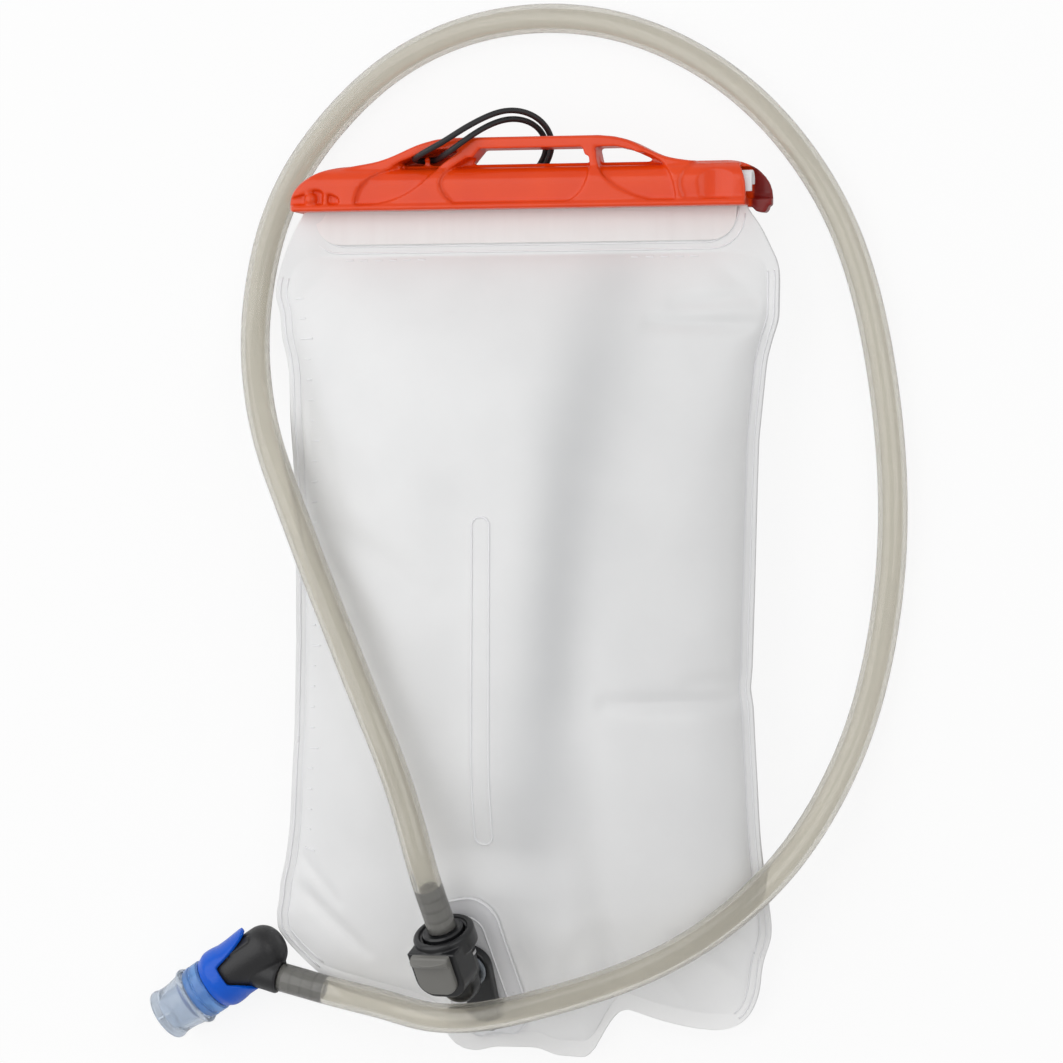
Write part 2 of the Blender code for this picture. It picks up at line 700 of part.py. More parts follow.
def make_mouth(strip_material, film):
    """Stiff strips on both panels, and the fold of film above them."""
    half = MOUTH_WIDTH / 2
    foot = NECK_FOOT_Y + STRIP_MARGIN
    outline = rounded_outline((-half, foot), (half, FILM_TOP_Y), (STRIP_CORNER, STRIP_CORNER, GAP, GAP))
    inner = GAP / 2 + FILM + GAP
    front = MOUTH_Z + inner
    prism("mouth_strip_front", "XY", outline, front, front + STRIP, strip_material)
    back = MOUTH_Z - inner - STRIP
    prism("mouth_strip_back", "XY", outline, back, back + STRIP, strip_material)

    lip_foot = FILM_TOP_Y + GAP
    bend_y = lip_foot + LIP
    bend_z = MOUTH_Z + LIP_BEND
    outer = arc((bend_y, bend_z), LIP_BEND + LIP / 2, -90, 90, 10)
    inner_bend = arc((bend_y, bend_z), LIP_BEND - LIP / 2, 90, -90, 10)
    overhang_y = bend_y - LIP - LIP_OVERHANG
    fold = [(lip_foot, outer[0][1]), *outer, (overhang_y, outer[-1][1]), (overhang_y, inner_bend[0][1])]
    fold += [*inner_bend, (lip_foot, inner_bend[-1][1])]
    prism("folded_lip", "YZ", fold, -half, half + LIP_TAIL, film)


def make_closure(orange):
    """Slide closure, drawn from the foot of its bar and the mouth's middle plane."""
    frame = add_frame("closure_frame", (0.0, BAR_FOOT_Y, MOUTH_Z), (0, 0, 1), (0, 1, 0))
    top = BAR_HEIGHT
    half_depth = BAR_DEPTH / 2
    radii = (LIP_RADIUS, LIP_RADIUS, TAIL_RADIUS, NOSE_RADIUS)
    bar_outline = rounded_outline((BAR_LEFT, 0), (BAR_RIGHT, top), radii)
    bar = prism("slide_closure", "XY", bar_outline, -half_depth, half_depth, orange, frame, BAR_ROUNDING)

    handle_top = top + HANDLE_RISE
    sunk = BAR_WALL / 2
    handle_outline = [
        (HANDLE_FOOT[0], top - sunk),
        (HANDLE_FOOT[1], top - sunk),
        (HANDLE_TOP[1], handle_top),
        (HANDLE_TOP[0], handle_top),
    ]
    near, far = -HANDLE_DEPTH / 2, HANDLE_DEPTH / 2
    handle = prism("handle_arch", "XY", handle_outline, near, far, None, frame, HANDLE_ROUNDING)
    for name, outline in handle_windows(top, handle_top - HANDLE_BAND):
        cut(handle, prism(name, "XY", outline, near - CUT_REACH, far + CUT_REACH, None, frame))
    join(bar, handle)

    peg_frame = add_frame("peg_frame", (PEG_X, top - sunk, 0.0), (0, 1, 0), (0, 0, -1), frame)
    join(bar, rod("tether_peg", PEG_RADIUS, 0.0, sunk + PEG_HEIGHT, peg_frame))

    open_end = BAR_RIGHT + CUT_REACH
    wall_end = MOUTH_WIDTH / 2 + FRONT_WALL_LENGTH
    above, below = top + BAR_WALL, -BAR_WALL
    front_cut = [
        (wall_end - FRONT_WALL_RAKE, above),
        (wall_end, below),
        (open_end, below),
        (open_end, above),
    ]
    cut(bar, prism("front_wall_cut", "XY", front_cut, GAP, BAR_DEPTH, None, frame))

    stack = GAP / 2 + FILM + GAP + STRIP
    slot = stack + SLOT_CLEARANCE
    chamber_half = half_depth - BAR_WALL
    chamber_left = -MOUTH_WIDTH / 2 - BAR_WALL
    low, high = (BAR_WALL, -chamber_half), (top - BAR_WALL, chamber_half)
    chamber = rounded_outline(low, high, [BAR_WALL] * 4, 4)
    cut(bar, prism("lip_chamber", "YZ", chamber, chamber_left, open_end, None, frame))
    cut(bar, box("lip_slot", (chamber_left, -BAR_WALL, -slot), (open_end, 2 * BAR_WALL, slot), frame))

    pocket_low = (top - BAR_WALL - NOSE_POCKET_HEIGHT) / 2
    for name, side in (("nose_pocket_left", -1), ("nose_pocket_right", 1)):
        near = BAR_LEFT + NOSE_POCKET_INSET + side * NOSE_PILLAR / 2
        far = near + side * NOSE_POCKET
        low = (min(near, far), pocket_low, half_depth - NOSE_POCKET_DEPTH)
        cut(bar, box(name, low, (max(near, far), pocket_low + NOSE_POCKET_HEIGHT, BAR_DEPTH), frame))


def handle_windows(foot, top):
    """Three openings under the handle: a tapered one at each end and the finger gap between the posts."""
    half_post = POST_WIDTH / 2
    left, right = POST_X
    taper_left = HANDLE_FOOT[0] + 2 * HANDLE_BAND
    taper_right = HANDLE_FOOT[1] - 2 * HANDLE_BAND
    middle = [
        (left + half_post - POST_LEAN, foot),
        (right - half_post + POST_LEAN, foot),
        (right - half_post, top),
        (left + half_post, top),
    ]
    left_end = [
        (taper_left, foot),
        (left - half_post - POST_LEAN, foot),
        (left - half_post, top),
        (HANDLE_TOP[0] + HANDLE_BAND / 2, top),
    ]
    right_end = [
        (right + half_post + POST_LEAN, foot),
        (taper_right, foot),
        (HANDLE_TOP[1] - HANDLE_BAND / 2, top),
        (right + half_post, top),
    ]
    return (("window_middle", middle), ("window_left", left_end), ("window_right", right_end))


def make_tether(black, film):
    tab_back = MOUTH_Z - GAP / 2 - FILM - GAP - STRIP - GAP - TAB
    tab_x = TAB_INSET - MOUTH_WIDTH / 2
    tab_y = NECK_FOOT_Y + TAB_UP
    low = (tab_x - TAB_WIDTH / 2, tab_y - TAB_HEIGHT / 2)
    high = (tab_x + TAB_WIDTH / 2, tab_y + TAB_HEIGHT / 2)
    tab = rounded_outline(low, high, [TAB_HEIGHT / 3] * 4, 3)
    prism("tether_tab", "XY", tab, tab_back, tab_back + TAB, film)

    stand_off = tab_back - TETHER_DIAMETER / 2
    start = Vector((tab_x, tab_y, stand_off))
    end = Vector((tab_x + TAB_WIDTH / 4, tab_y + TETHER_DIAMETER / 2, stand_off))
    route = [start, *(Vector(point) * MM for point in TETHER_ROUTE), end]
    tube("tether", smooth_path(route, TETHER_POINTS), TETHER_DIAMETER / 2, black)


def outlet_frames():
    """Frame on the film at the outlet, and the coupling's frame on the hose axis above it.

    The hose leaves along the axis, and the coupling is turned about it so that its button faces aside.
    """
    foot = over_front(OUTLET_X, OUTLET_Y, 0.0)
    normal = front_normal(OUTLET_X, OUTLET_Y)
    heading = Vector((-sin(radians(OUTLET_HEADING)), cos(radians(OUTLET_HEADING)), 0.0))
    axis = (heading - heading.dot(normal) * normal).normalized()
    outlet = add_frame("outlet_frame", foot, normal, axis)
    turn = radians(COUPLING_TURN)
    aside = axis.cross(normal)
    button_side = normal * cos(turn) - aside * sin(turn)
    coupling = add_frame("coupling_frame", foot + normal * AXIS_HEIGHT, axis, button_side)
    return outlet, coupling, foot + normal * AXIS_HEIGHT, axis


def make_flange(film, outlet):
    """Welded patch that follows the film, with the port through it."""
    half = FLANGE_WIDTH / 2
    middle_y = OUTLET_Y + FLANGE_SHIFT

    def place(u, v):
        y = v * FLANGE_LENGTH / 2
        inset = max(0.0, abs(y) - FLANGE_LENGTH / 2 + FLANGE_CORNER)
        x = u * (half - FLANGE_CORNER + sqrt(max(0.0, FLANGE_CORNER**2 - inset**2)))
        return over_front(OUTLET_X + x, middle_y + y, FLANGE_LIFT)

    grid = [sin(pi / 2 * k / FLANGE_STEPS) for k in range(-FLANGE_STEPS, FLANGE_STEPS + 1)]
    patch = sheet("outlet_flange", place, grid, grid, FLANGE, film)
    cut(patch, rod("outlet_flange_port", OUTLET_BORE / 2, -CUT_REACH, CUT_REACH, outlet))


def shield_outline(half, foot, top, corner):
    """Button or boss in the coupling's ZX plane: round at the foot, square at the top."""
    return rounded_outline((foot, -half), (top, half), (corner, GAP, GAP, corner), 5)


def make_socket(black, outlet, coupling):
    profile = [
        (0, HEEL_END),
        *((p, HEEL_END + HEEL_RADIUS + q) for p, q in arc((0, 0), HEEL_RADIUS, -75, 0, 4)),
        (HEEL_RADIUS, HOUSING_START - SOCKET_ROUNDING),
        (HOUSING_RADIUS, HOUSING_START),
        (HOUSING_RADIUS, COLLAR_START - SOCKET_ROUNDING),
        (COLLAR_RADIUS, COLLAR_START),
        (COLLAR_RADIUS, SOCKET_END - SOCKET_ROUNDING),
        (COLLAR_RADIUS - SOCKET_ROUNDING, SOCKET_END),
        (0, SOCKET_END),
    ]
    socket = turned("outlet_socket", profile, black, coupling)
    boss_top = COLLAR_START + SOCKET_ROUNDING
    boss = shield_outline(BOSS_HALF_WIDTH, BOSS_FOOT, boss_top, BOSS_CORNER)
    join(socket, prism("button_boss", "ZX", boss, 0.0, BOSS_FRONT, None, coupling))

    base_foot = FLANGE_LIFT + FLANGE + GAP
    tail = [(p, -BASE_TAIL + q) for p, q in arc((0, 0), BASE_TAIL_RADIUS, 200, 340, 5)]
    base = arc((0, 0), BASE_RADIUS, -10, 190, 10) + tail
    join(socket, prism("socket_base", "XY", base, base_foot, base_foot + BASE, None, outlet))
    join(socket, rod("socket_riser", HEEL_RADIUS - SOCKET_ROUNDING, base_foot + GAP, AXIS_HEIGHT, outlet))

    cut(socket, rod("poppet_chamber", CHAMBER_RADIUS, CHAMBER_START, SEAT_START, coupling))
    cut(socket, rod("poppet_seat", SEAT_RADIUS, CHAMBER_START + GAP, SOCKET_END + GAP, coupling))
    cut(socket, rod("plug_bore", PLUG_RADIUS + GAP, PLUG_STOP, SOCKET_END + GAP, coupling))
    recess_floor = SOCKET_END - RECESS_DEPTH
    cut(socket, rod("plug_recess", PLUG_FLANGE_RADIUS + GAP, recess_floor, SOCKET_END + GAP, coupling))
    cut(socket, rod("riser_bore", RISER_BORE, -CUT_REACH, AXIS_HEIGHT, outlet))

    wall = BOSS_HALF_WIDTH - BUTTON_EDGE
    pocket_top = COLLAR_START - SOCKET_ROUNDING
    pocket = shield_outline(wall, BOSS_FOOT + BUTTON_EDGE, pocket_top, BOSS_CORNER - BUTTON_EDGE)
    cut(socket, prism("button_pocket", "ZX", pocket, POCKET_FLOOR, BOSS_FRONT + GAP, None, coupling))
    half = LATCH_REACH + GAP
    low = (-half, -HOUSING_RADIUS - GAP, LATCH_STATION - LATCH / 2 - GAP)
    high = (half, POCKET_FLOOR + GAP, LATCH_STATION + LATCH / 2 + GAP)
    cut(socket, box("latch_slot", low, high, coupling))


def make_latch(grey, steel, coupling):
    """Release button with its thumb lip, the latch plate under it and the spring that returns them."""
    half = BOSS_HALF_WIDTH - BUTTON_EDGE - GAP
    foot = BOSS_FOOT + BUTTON_EDGE + GAP
    top = COLLAR_START - SOCKET_ROUNDING - GAP
    back = POCKET_FLOOR + BUTTON_TRAVEL + GAP
    front = BOSS_FRONT + BUTTON_STAND
    corner = BOSS_CORNER - BUTTON_EDGE - GAP
    shield = shield_outline(half, foot, top, corner)
    button = prism("release_button", "ZX", shield, back, front, grey, coupling)
    thumb = rounded_outline((top - THUMB_LIP, -half + GAP), (top - GAP, half - GAP), [GAP] * 4, 2)
    join(button, prism("thumb_lip", "ZX", thumb, front - GAP, front + THUMB_LIP_RISE, None, coupling))

    low_z = LATCH_STATION - LATCH / 2
    plate_top = back - GAP
    corners = (LATCH_REACH / 2, LATCH_REACH / 2, GAP, GAP)
    plate_outline = rounded_outline((-LATCH_REACH, -LATCH_REACH), (LATCH_REACH, plate_top), corners)
    plate = prism("latch_plate", "XY", plate_outline, low_z, low_z + LATCH, steel, coupling)
    hole = PLUG_RADIUS + LATCH_CLEARANCE
    eye = arc((0, 0), hole, 180, 360, 10) + arc((0, BUTTON_TRAVEL), hole - GAP, 0, 180, 10)
    cut(plate, prism("latch_eye", "XY", eye, low_z - LATCH, low_z + 2 * LATCH, None, coupling))

    spring_z = (foot + low_z) / 2
    spring_frame = add_frame("latch_spring_frame", (0.0, 0.0, spring_z), (0, 1, 0), (0, 0, -1), coupling)
    low = POCKET_FLOOR + GAP + LATCH_WIRE
    high = back - GAP - LATCH_WIRE
    coil("latch_spring", LATCH_COIL, LATCH_WIRE, low, high, LATCH_TURNS, steel, spring_frame)


def barb_profile(start):
    """Ringed barb along Z that fits the hose's bore, from its root to its tip."""
    pitch = BARB_LENGTH / BARB_RINGS
    points = []
    for k in range(BARB_RINGS):
        points += [(BARB_PEAK - BARB_STEP, start + k * pitch), (BARB_PEAK, start + k * pitch + BARB_STEP)]
    return points + [(BARB_PEAK - 2 * BARB_STEP, start + BARB_LENGTH)]


def make_plug(smoke, rubber, coupling):
    nose = PLUG_STOP + GAP
    shoulder = SOCKET_END - RECESS_DEPTH + GAP
    hose_stop = shoulder + PLUG_FLANGE
    groove = PLUG_RADIUS - 2 * SEAL_WIRE - GAP
    seal_low = SEAL_STATION - SEAL_WIRE - GAP
    seal_high = SEAL_STATION + SEAL_WIRE + GAP
    profile = [
        (BARB_BORE, nose),
        (PLUG_RADIUS, nose),
        (PLUG_RADIUS, seal_low),
        (groove, seal_low),
        (groove, seal_high),
        (PLUG_RADIUS, seal_high),
        (PLUG_RADIUS, shoulder),
        (PLUG_FLANGE_RADIUS, shoulder),
        (PLUG_FLANGE_RADIUS, hose_stop - BARB_STEP),
        (PLUG_FLANGE_RADIUS - BARB_STEP, hose_stop),
        *barb_profile(hose_stop),
        (BARB_BORE, hose_stop + BARB_LENGTH),
    ]
    turned("plug", profile, smoke, coupling, closed=True)
    ring("plug_o_ring", PLUG_RADIUS - SEAL_WIRE - GAP / 2, SEAL_WIRE, SEAL_STATION, rubber, coupling)
    return hose_stop + GAP


def make_poppet(white, steel, coupling):
    disc_top = POPPET_STATION + POPPET_DISC
    profile = [
        (0, POPPET_STATION),
        (POPPET_RADIUS, POPPET_STATION),
        (POPPET_RADIUS, disc_top),
        (POPPET_STEM, disc_top + GAP),
        (POPPET_STEM, POPPET_STEM_END),
        (0, POPPET_STEM_END),
    ]
    turned("poppet", profile, white, coupling)
    low = CHAMBER_START + GAP + POPPET_WIRE
    high = POPPET_STATION - GAP - POPPET_WIRE
    coil("poppet_spring", POPPET_COIL, POPPET_WIRE, low, high, POPPET_TURNS, steel, coupling)


def valve_frames():
    """Valve frame with Z to the bite cap and Y to the wing, and the branch's frame with Z to the hose."""
    heading, dip = radians(VALVE_HEADING), radians(VALVE_DIP)
    axis = Vector((cos(heading) * cos(dip), sin(heading) * cos(dip), -sin(dip)))
    wing_side = Vector((0, 0, 1)).cross(axis) * -1
    valve = add_frame("valve_frame", VALVE_CENTRE, axis, wing_side)
    wing_side.normalize()
    bend = radians(BRANCH_ANGLE)
    branch_axis = -wing_side * sin(bend) - axis * cos(bend)
    branch = add_frame("branch_frame", VALVE_CENTRE, branch_axis, wing_side)
    return valve, branch, branch_axis


def make_elbow(black, valve, branch):
    dome_edge = ELBOW_DOME_END + ELBOW_DOME
    flat = ELBOW_RADIUS - ELBOW_DOME
    profile = [
        (0, ELBOW_DOME_END),
        *((flat + p, dome_edge + q) for p, q in arc((0, 0), ELBOW_DOME, -90, 0, 5)),
        (ELBOW_RADIUS, ELBOW_FRONT),
        (0, ELBOW_FRONT),
    ]
    elbow = turned("valve_elbow", profile, black, valve)
    branch_profile = [
        (0, 0),
        (BRANCH_RADIUS, 0),
        (BRANCH_RADIUS, BRANCH_LENGTH - BARB_STEP),
        (BRANCH_RADIUS - BARB_STEP, BRANCH_LENGTH),
        *barb_profile(BRANCH_LENGTH),
        (0, BRANCH_LENGTH + BARB_LENGTH),
    ]
    join(elbow, turned("elbow_branch", branch_profile, None, branch))
    cut(elbow, rod("elbow_bore", ELBOW_BORE, ELBOW_BORE_END, ELBOW_FRONT + GAP, valve))
    cut(elbow, rod("branch_bore", BARB_BORE, 0.0, BRANCH_LENGTH + BARB_LENGTH + GAP, branch))


def make_twist_collar(blue, valve):
    inner = ELBOW_RADIUS + GAP
    web = ELBOW_FRONT + GAP
    profile = [
        (inner, TWIST_START),
        (TWIST_RADIUS - TWIST_ROUNDING, TWIST_START),
        (TWIST_RADIUS, TWIST_START + TWIST_ROUNDING),
        (TWIST_RADIUS, TWIST_END - TWIST_ROUNDING),
        (TWIST_RADIUS - TWIST_ROUNDING, TWIST_END),
        (TWIST_NECK, TWIST_END),
        (TWIST_NECK, web),
        (inner, web),
    ]
    collar = turned("twist_collar", profile, blue, valve, closed=True)
    root = TWIST_START + WING
    reach = root - WING_END

    def place(u, v):
        spread = WING_SPREAD * sqrt(1 - (1 - WING_TIP**2) * v**2)
        angle = radians(90 - u * spread)
        radius = inner + GAP / 2
        return (radius * cos(angle), radius * sin(angle), root - v * reach)

    across = [k / 4 for k in range(-4, 5)]
    along = [sin(pi / 2 * k / 6) for k in range(7)]
    join(collar, sheet("wing", place, across, along, WING, None, valve))


def make_core(blue_clear, rubber, valve):
    spool = ELBOW_BORE - GAP
    seal_low = CORE_SEAL_STATION - CORE_SEAL_WIRE - GAP
    seal_high = CORE_SEAL_STATION + CORE_SEAL_WIRE + GAP
    groove = spool - 2 * CORE_SEAL_WIRE - GAP
    barrel_start = TWIST_END + GAP
    profile = [
        (CORE_BORE, CORE_START),
        (spool, CORE_START),
        (spool, seal_low),
        (groove, seal_low),
        (groove, seal_high),
        (spool, seal_high),
        (spool, barrel_start),
        (BARREL_RADIUS, barrel_start),
        (BARREL_RADIUS, BARREL_END),
        (NIPPLE_RADIUS, BARREL_END),
        (NIPPLE_RADIUS, NIPPLE_END),
        (CORE_BORE, NIPPLE_END),
    ]
    turned("valve_core", profile, blue_clear, valve, closed=True)
    seal_radius = spool - CORE_SEAL_WIRE - GAP / 3
    ring("core_o_ring", seal_radius, CORE_SEAL_WIRE, CORE_SEAL_STATION, rubber, valve)


def make_bite_cap(clear, valve):
    start = BARREL_END + GAP
    inner = NIPPLE_RADIUS + GAP
    rim = NIPPLE_END - start
    waist = (NIPPLE_END + CAP_END) / 2
    ceiling = CAP_END - CAP_WALL
    profile = [
        (0, ceiling),
        (inner - CAP_WALL / 2, ceiling),
        (inner, waist),
        (inner, start),
        (CAP_RIM_RADIUS - rim / 4, start),
        (CAP_RIM_RADIUS, start + rim / 4),
        (CAP_RIM_RADIUS, NIPPLE_END),
        (CAP_WAIST_RADIUS, waist),
        (CAP_TIP_RADIUS, ceiling),
        (CAP_TIP_RADIUS - CAP_WALL / 4, CAP_END - CAP_WALL / 4),
        (CAP_TIP_RADIUS - CAP_WALL, CAP_END),
        (0, CAP_END),
    ]
    cap = turned("bite_cap", profile, clear, valve)
    low = (-SLIT_LENGTH / 2, -SLIT_WIDTH / 2, ceiling - GAP)
    cut(cap, box("bite_slit", low, (SLIT_LENGTH / 2, SLIT_WIDTH / 2, CAP_END + GAP), valve))


def make_hose(clear, start, start_axis, end, end_axis):
    """Hose over both barbs, straight for a lead at each end, with its bore cut through."""
    leads = [start, start + start_axis * HOSE_LEAD / 2, start + start_axis * HOSE_LEAD]
    tails = [end + end_axis * HOSE_LEAD, end + end_axis * HOSE_LEAD / 2, end]
    route = leads + [Vector(point) * MM for point in HOSE_ROUTE] + tails
    points = smooth_path(route, HOSE_POINTS)
    hose = tube_mesh("drinking_hose", points, HOSE_DIAMETER / 2, clear)
    bore = [start - start_axis * HOSE_BORE, *points[1:-1], end - end_axis * HOSE_BORE]
    cut(hose, tube_mesh("hose_bore", bore, HOSE_BORE / 2, None))


def main():
    clear_scene()
    film = make_material("milky film", (0.80, 0.80, 0.80), 0.35, 0.7)
    strip = make_material("white strip", (0.79, 0.76, 0.75), 0.5)
    orange = make_material("orange plastic", (0.68, 0.045, 0.008), 0.35)
    black = make_material("black plastic", (0.02, 0.02, 0.022), 0.5)
    rubber = make_material("black rubber", (0.012, 0.012, 0.012), 0.7)
    grey = make_material("grey plastic", (0.11, 0.105, 0.095), 0.45)
    smoke = make_material("smoke plastic", (0.08, 0.08, 0.085), 0.25)
    white = make_material("white plastic", (0.7, 0.7, 0.7), 0.4)
    steel = make_material("spring steel", (0.55, 0.55, 0.56), 0.3)
    blue = make_material("blue plastic", (0.0, 0.08, 0.58), 0.3)
    blue_clear = make_material("clear blue plastic", (0.16, 0.24, 0.44), 0.15, 0.7)
    clear = make_material("clear silicone", (0.38, 0.45, 0.54), 0.15, 0.5)
    hose_clear = make_material("clear hose", (0.55, 0.54, 0.48), 0.12, 0.5)

    outlet, coupling, axis_point, axis = outlet_frames()
    make_panels(film, outlet)
    make_baffle(film)
    make_mouth(strip, film)
    make_closure(orange)
    make_tether(rubber, film)
    make_flange(film, outlet)
    make_socket(black, outlet, coupling)
    make_latch(grey, steel, coupling)
    hose_station = make_plug(smoke, rubber, coupling)
    make_poppet(white, steel, coupling)
    valve, branch, branch_axis = valve_frames()
    make_elbow(black, valve, branch)
    make_twist_collar(blue, valve)
    make_core(blue_clear, rubber, valve)
    make_bite_cap(clear, valve)
    hose_end = Vector(VALVE_CENTRE) + branch_axis * (BRANCH_LENGTH + GAP)
    make_hose(hose_clear, axis_point + axis * hose_station, axis, hose_end, branch_axis)


main()
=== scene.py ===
"""Looks of the hydration bladder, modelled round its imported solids.

Metres, +Z up, in the solids' own frame: the bladder lies on its back, with the slide closure towards +Y.
"""

import json
from math import cos, pi, radians, sin

import bpy
import numpy as np
from mathutils import Matrix, Vector, noise


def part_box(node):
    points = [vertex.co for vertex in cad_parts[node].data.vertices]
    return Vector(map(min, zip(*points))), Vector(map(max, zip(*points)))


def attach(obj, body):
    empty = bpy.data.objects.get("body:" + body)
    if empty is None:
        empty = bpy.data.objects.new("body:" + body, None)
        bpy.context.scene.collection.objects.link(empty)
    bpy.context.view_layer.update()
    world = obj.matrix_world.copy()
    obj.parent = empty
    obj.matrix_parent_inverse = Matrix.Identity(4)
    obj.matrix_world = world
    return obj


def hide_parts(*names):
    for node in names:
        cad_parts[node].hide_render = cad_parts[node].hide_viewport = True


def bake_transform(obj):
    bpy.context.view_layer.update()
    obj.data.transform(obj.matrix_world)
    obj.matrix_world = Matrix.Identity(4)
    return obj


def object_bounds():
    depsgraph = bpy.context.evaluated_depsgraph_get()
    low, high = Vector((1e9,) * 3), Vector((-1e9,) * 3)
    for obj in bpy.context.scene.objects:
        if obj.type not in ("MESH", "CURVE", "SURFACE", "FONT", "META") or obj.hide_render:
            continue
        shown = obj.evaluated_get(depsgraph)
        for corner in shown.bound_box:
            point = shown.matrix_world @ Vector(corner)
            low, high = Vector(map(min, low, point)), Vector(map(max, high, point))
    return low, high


MM = 0.001

# Meshing: how near two points are one, which edges stay sharp, and how fine splines and sheets are
SAME_PLACE = 1e-6
CREASE = 40
TURNED_CREASE = 35
PATCH_CREASE = 50
SPLINE_STEPS = 40
FRONT_GRID = (150, 230)
BACK_GRID = (90, 140)
ACROSS_EASE = 0.3
ALONG_EASE = 0.11
ABOVE_FILM_Z = 0.2

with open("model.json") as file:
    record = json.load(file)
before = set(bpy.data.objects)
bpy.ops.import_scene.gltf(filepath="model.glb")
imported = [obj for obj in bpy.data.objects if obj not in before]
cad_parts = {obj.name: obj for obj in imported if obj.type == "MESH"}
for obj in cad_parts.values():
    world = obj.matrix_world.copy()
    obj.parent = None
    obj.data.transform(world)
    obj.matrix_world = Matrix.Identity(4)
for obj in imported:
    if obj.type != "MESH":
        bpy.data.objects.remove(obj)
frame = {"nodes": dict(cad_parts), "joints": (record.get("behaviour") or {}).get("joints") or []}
cad_low, cad_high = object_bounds()
joints = {joint["name"]: joint for joint in frame["joints"]}

# Reservoir film: its welded outline as the photograph shows it, (height, place) and (place, height) in mm
FOOT_Y = -147.0 * MM
LEFT_CORNER = 26.0 * MM
RIGHT_CORNER = 17.0 * MM
FOOT_FADE = 45.0 * MM
NECK_FOOT_Y = 118.0 * MM
FILM_TOP_Y = 141.0 * MM
LEFT_EDGE = (
    (-147, -91.5), (-113, -91.2), (-107, -90.0), (-100, -89.0), (-93, -86.7), (-85, -85.1), (-78, -83.9),
    (-64, -82.6), (-50, -81.7), (-15, -81.1), (25, -81.4), (48, -82.4), (62, -83.6), (76, -84.0),
    (83, -84.8), (90, -86.6), (100, -87.4), (104, -89.2), (109, -88.9), (115, -87.4), (124, -84.1),
    (131, -80.5), (134, -77.9), (141, -77.5),
)
RIGHT_EDGE = (
    (-147, 82.5), (-138, 81.0), (-131, 81.0), (-124, 82.3), (-118, 85.0), (-114, 85.8), (-108, 85.4),
    (-97, 84.3), (-83, 83.3), (-62, 82.8), (-49, 82.1), (-35, 81.4), (-32, 80.3), (-25, 81.1), (6, 82.0),
    (33, 82.6), (54, 83.2), (68, 84.6), (81, 85.9), (88, 87.7), (95, 90.1), (110, 90.4), (115, 89.7),
    (119, 87.6), (125, 84.8), (129, 82.4), (134, 78.5), (141, 78.0),
)
FOOT_EDGE = (
    (-90, -131), (-83, -133), (-69, -137.5), (-55, -141), (-41, -144.5), (-34, -147.5), (-31.5, -151),
    (-30.5, -154), (-27, -157), (-22.5, -158.6), (-17.5, -158.4), (-14.5, -157.1), (1, -157.0), (5.5, -158),
    (7.5, -159.5), (20.5, -160.2), (22, -157.5), (26.3, -149.8), (28.4, -146.3), (32.3, -142.7),
    (35.5, -143.3), (45.5, -146.5), (52.6, -148.1), (60, -149.3), (66, -149.5), (80, -149.5),
)
EDGE_EASE = 2.5 * MM
SIDE_SEAM = 4.5 * MM
FOOT_SEAM = 6.0 * MM
FILM = 0.6 * MM
FILM_GAP = 0.15 * MM

# Height of the filled film
CROWN = 31.0 * MM
FOOT_RISE = 100.0 * MM
NECK_FALL = 95.0 * MM
BACK_RISE = 60.0 * MM
BACK_FALL = 45.0 * MM
BACK_SLACK = 7.0 * MM
BACK_CLEARANCE = 0.4 * MM
FOOT_SEAM_Z = 8.0 * MM
SIDE_SEAM_Z = 23.5 * MM
SIDE_SEAM_Y = -55.0 * MM
MOUTH_Z = 21.5 * MM
SIDE_FULLNESS = 0.6
FOOT_FULLNESS = 0.8
NECK_FULLNESS = 0.9

# Baffle weld, and the valley that it pulls into the front
BAFFLE_X = -8.4 * MM
BAFFLE_FOOT_Y = -84.5 * MM
BAFFLE_TOP_Y = 27.5 * MM
BAFFLE_HALF_WIDTH = 4.7 * MM
WELD_HALF_WIDTH = 3.1 * MM
VALLEY_DEPTH = 6.0 * MM
VALLEY_FLANK = 20.0 * MM
VALLEY_FOOT_RUN = 20.0 * MM
VALLEY_NECK_RUN = 45.0 * MM
WEB_FOOT_Z = 2.6 * MM
WEB_UNDER_FILM = 1.6 * MM
WEB_BOW = 1.5 * MM

# Painted shade beside the baffle, a darker band in the film's colour: middle, lean, half width, and its run
# up the film
PAINTED_SHADE_X = 19.0 * MM
PAINTED_SHADE_LEAN = 0.12
PAINTED_SHADE_WIDTH = 15.0 * MM
PAINTED_SHADE_Y = 2.0 * MM
PAINTED_SHADE_REACH = 112.0 * MM
# Where painted light starts to pale the film's colour towards the foot
FOOT_PAINTED_LIGHT_Y = -70.0 * MM

# Soft grooves in the front film: from x, y to x, y, depth and half width, in mm
GROOVES = (
    (-84, 62, -26, 4, 2.2, 13.0),
    (-80, 76, -63, 24, 2.2, 6.0),
    (-63, 24, -28, 0, 2.2, 6.5),
    (24, 40, 24, -100, 2.6, 11.0),
    (48, 93.5, 92, 93.5, 2.4, 2.6),
    (56, 100, 92, 104, 1.6, 2.8),
    (36, -36, 92, -35, 2.8, 2.8),
    (62, -29, 92, -27, 1.4, 2.2),
    (66, 118, 90, 96, 2.6, 3.4),
    (56, -118, 84, -140, 2.4, 3.4),
    (66, -112, 92, -128, 2.0, 3.0),
    (44, -126, 62, -150, 1.8, 3.0),
    (-84, -98, -58, -124, 2.2, 3.2),
    (-84, -84, -66, -106, 1.6, 2.6),
    (-66, 116, -86, 98, 2.2, 3.0),
    (8, -150, 22, -118, 1.8, 3.6),
    (33, -146, 30, -116, 2.0, 4.0),
)
GROOVE_END = 0.08
EDGE_WAVES = 0.9 * MM
EDGE_WAVE_REACH = 16.0 * MM
EDGE_WAVE_PITCH = 21.0 * MM

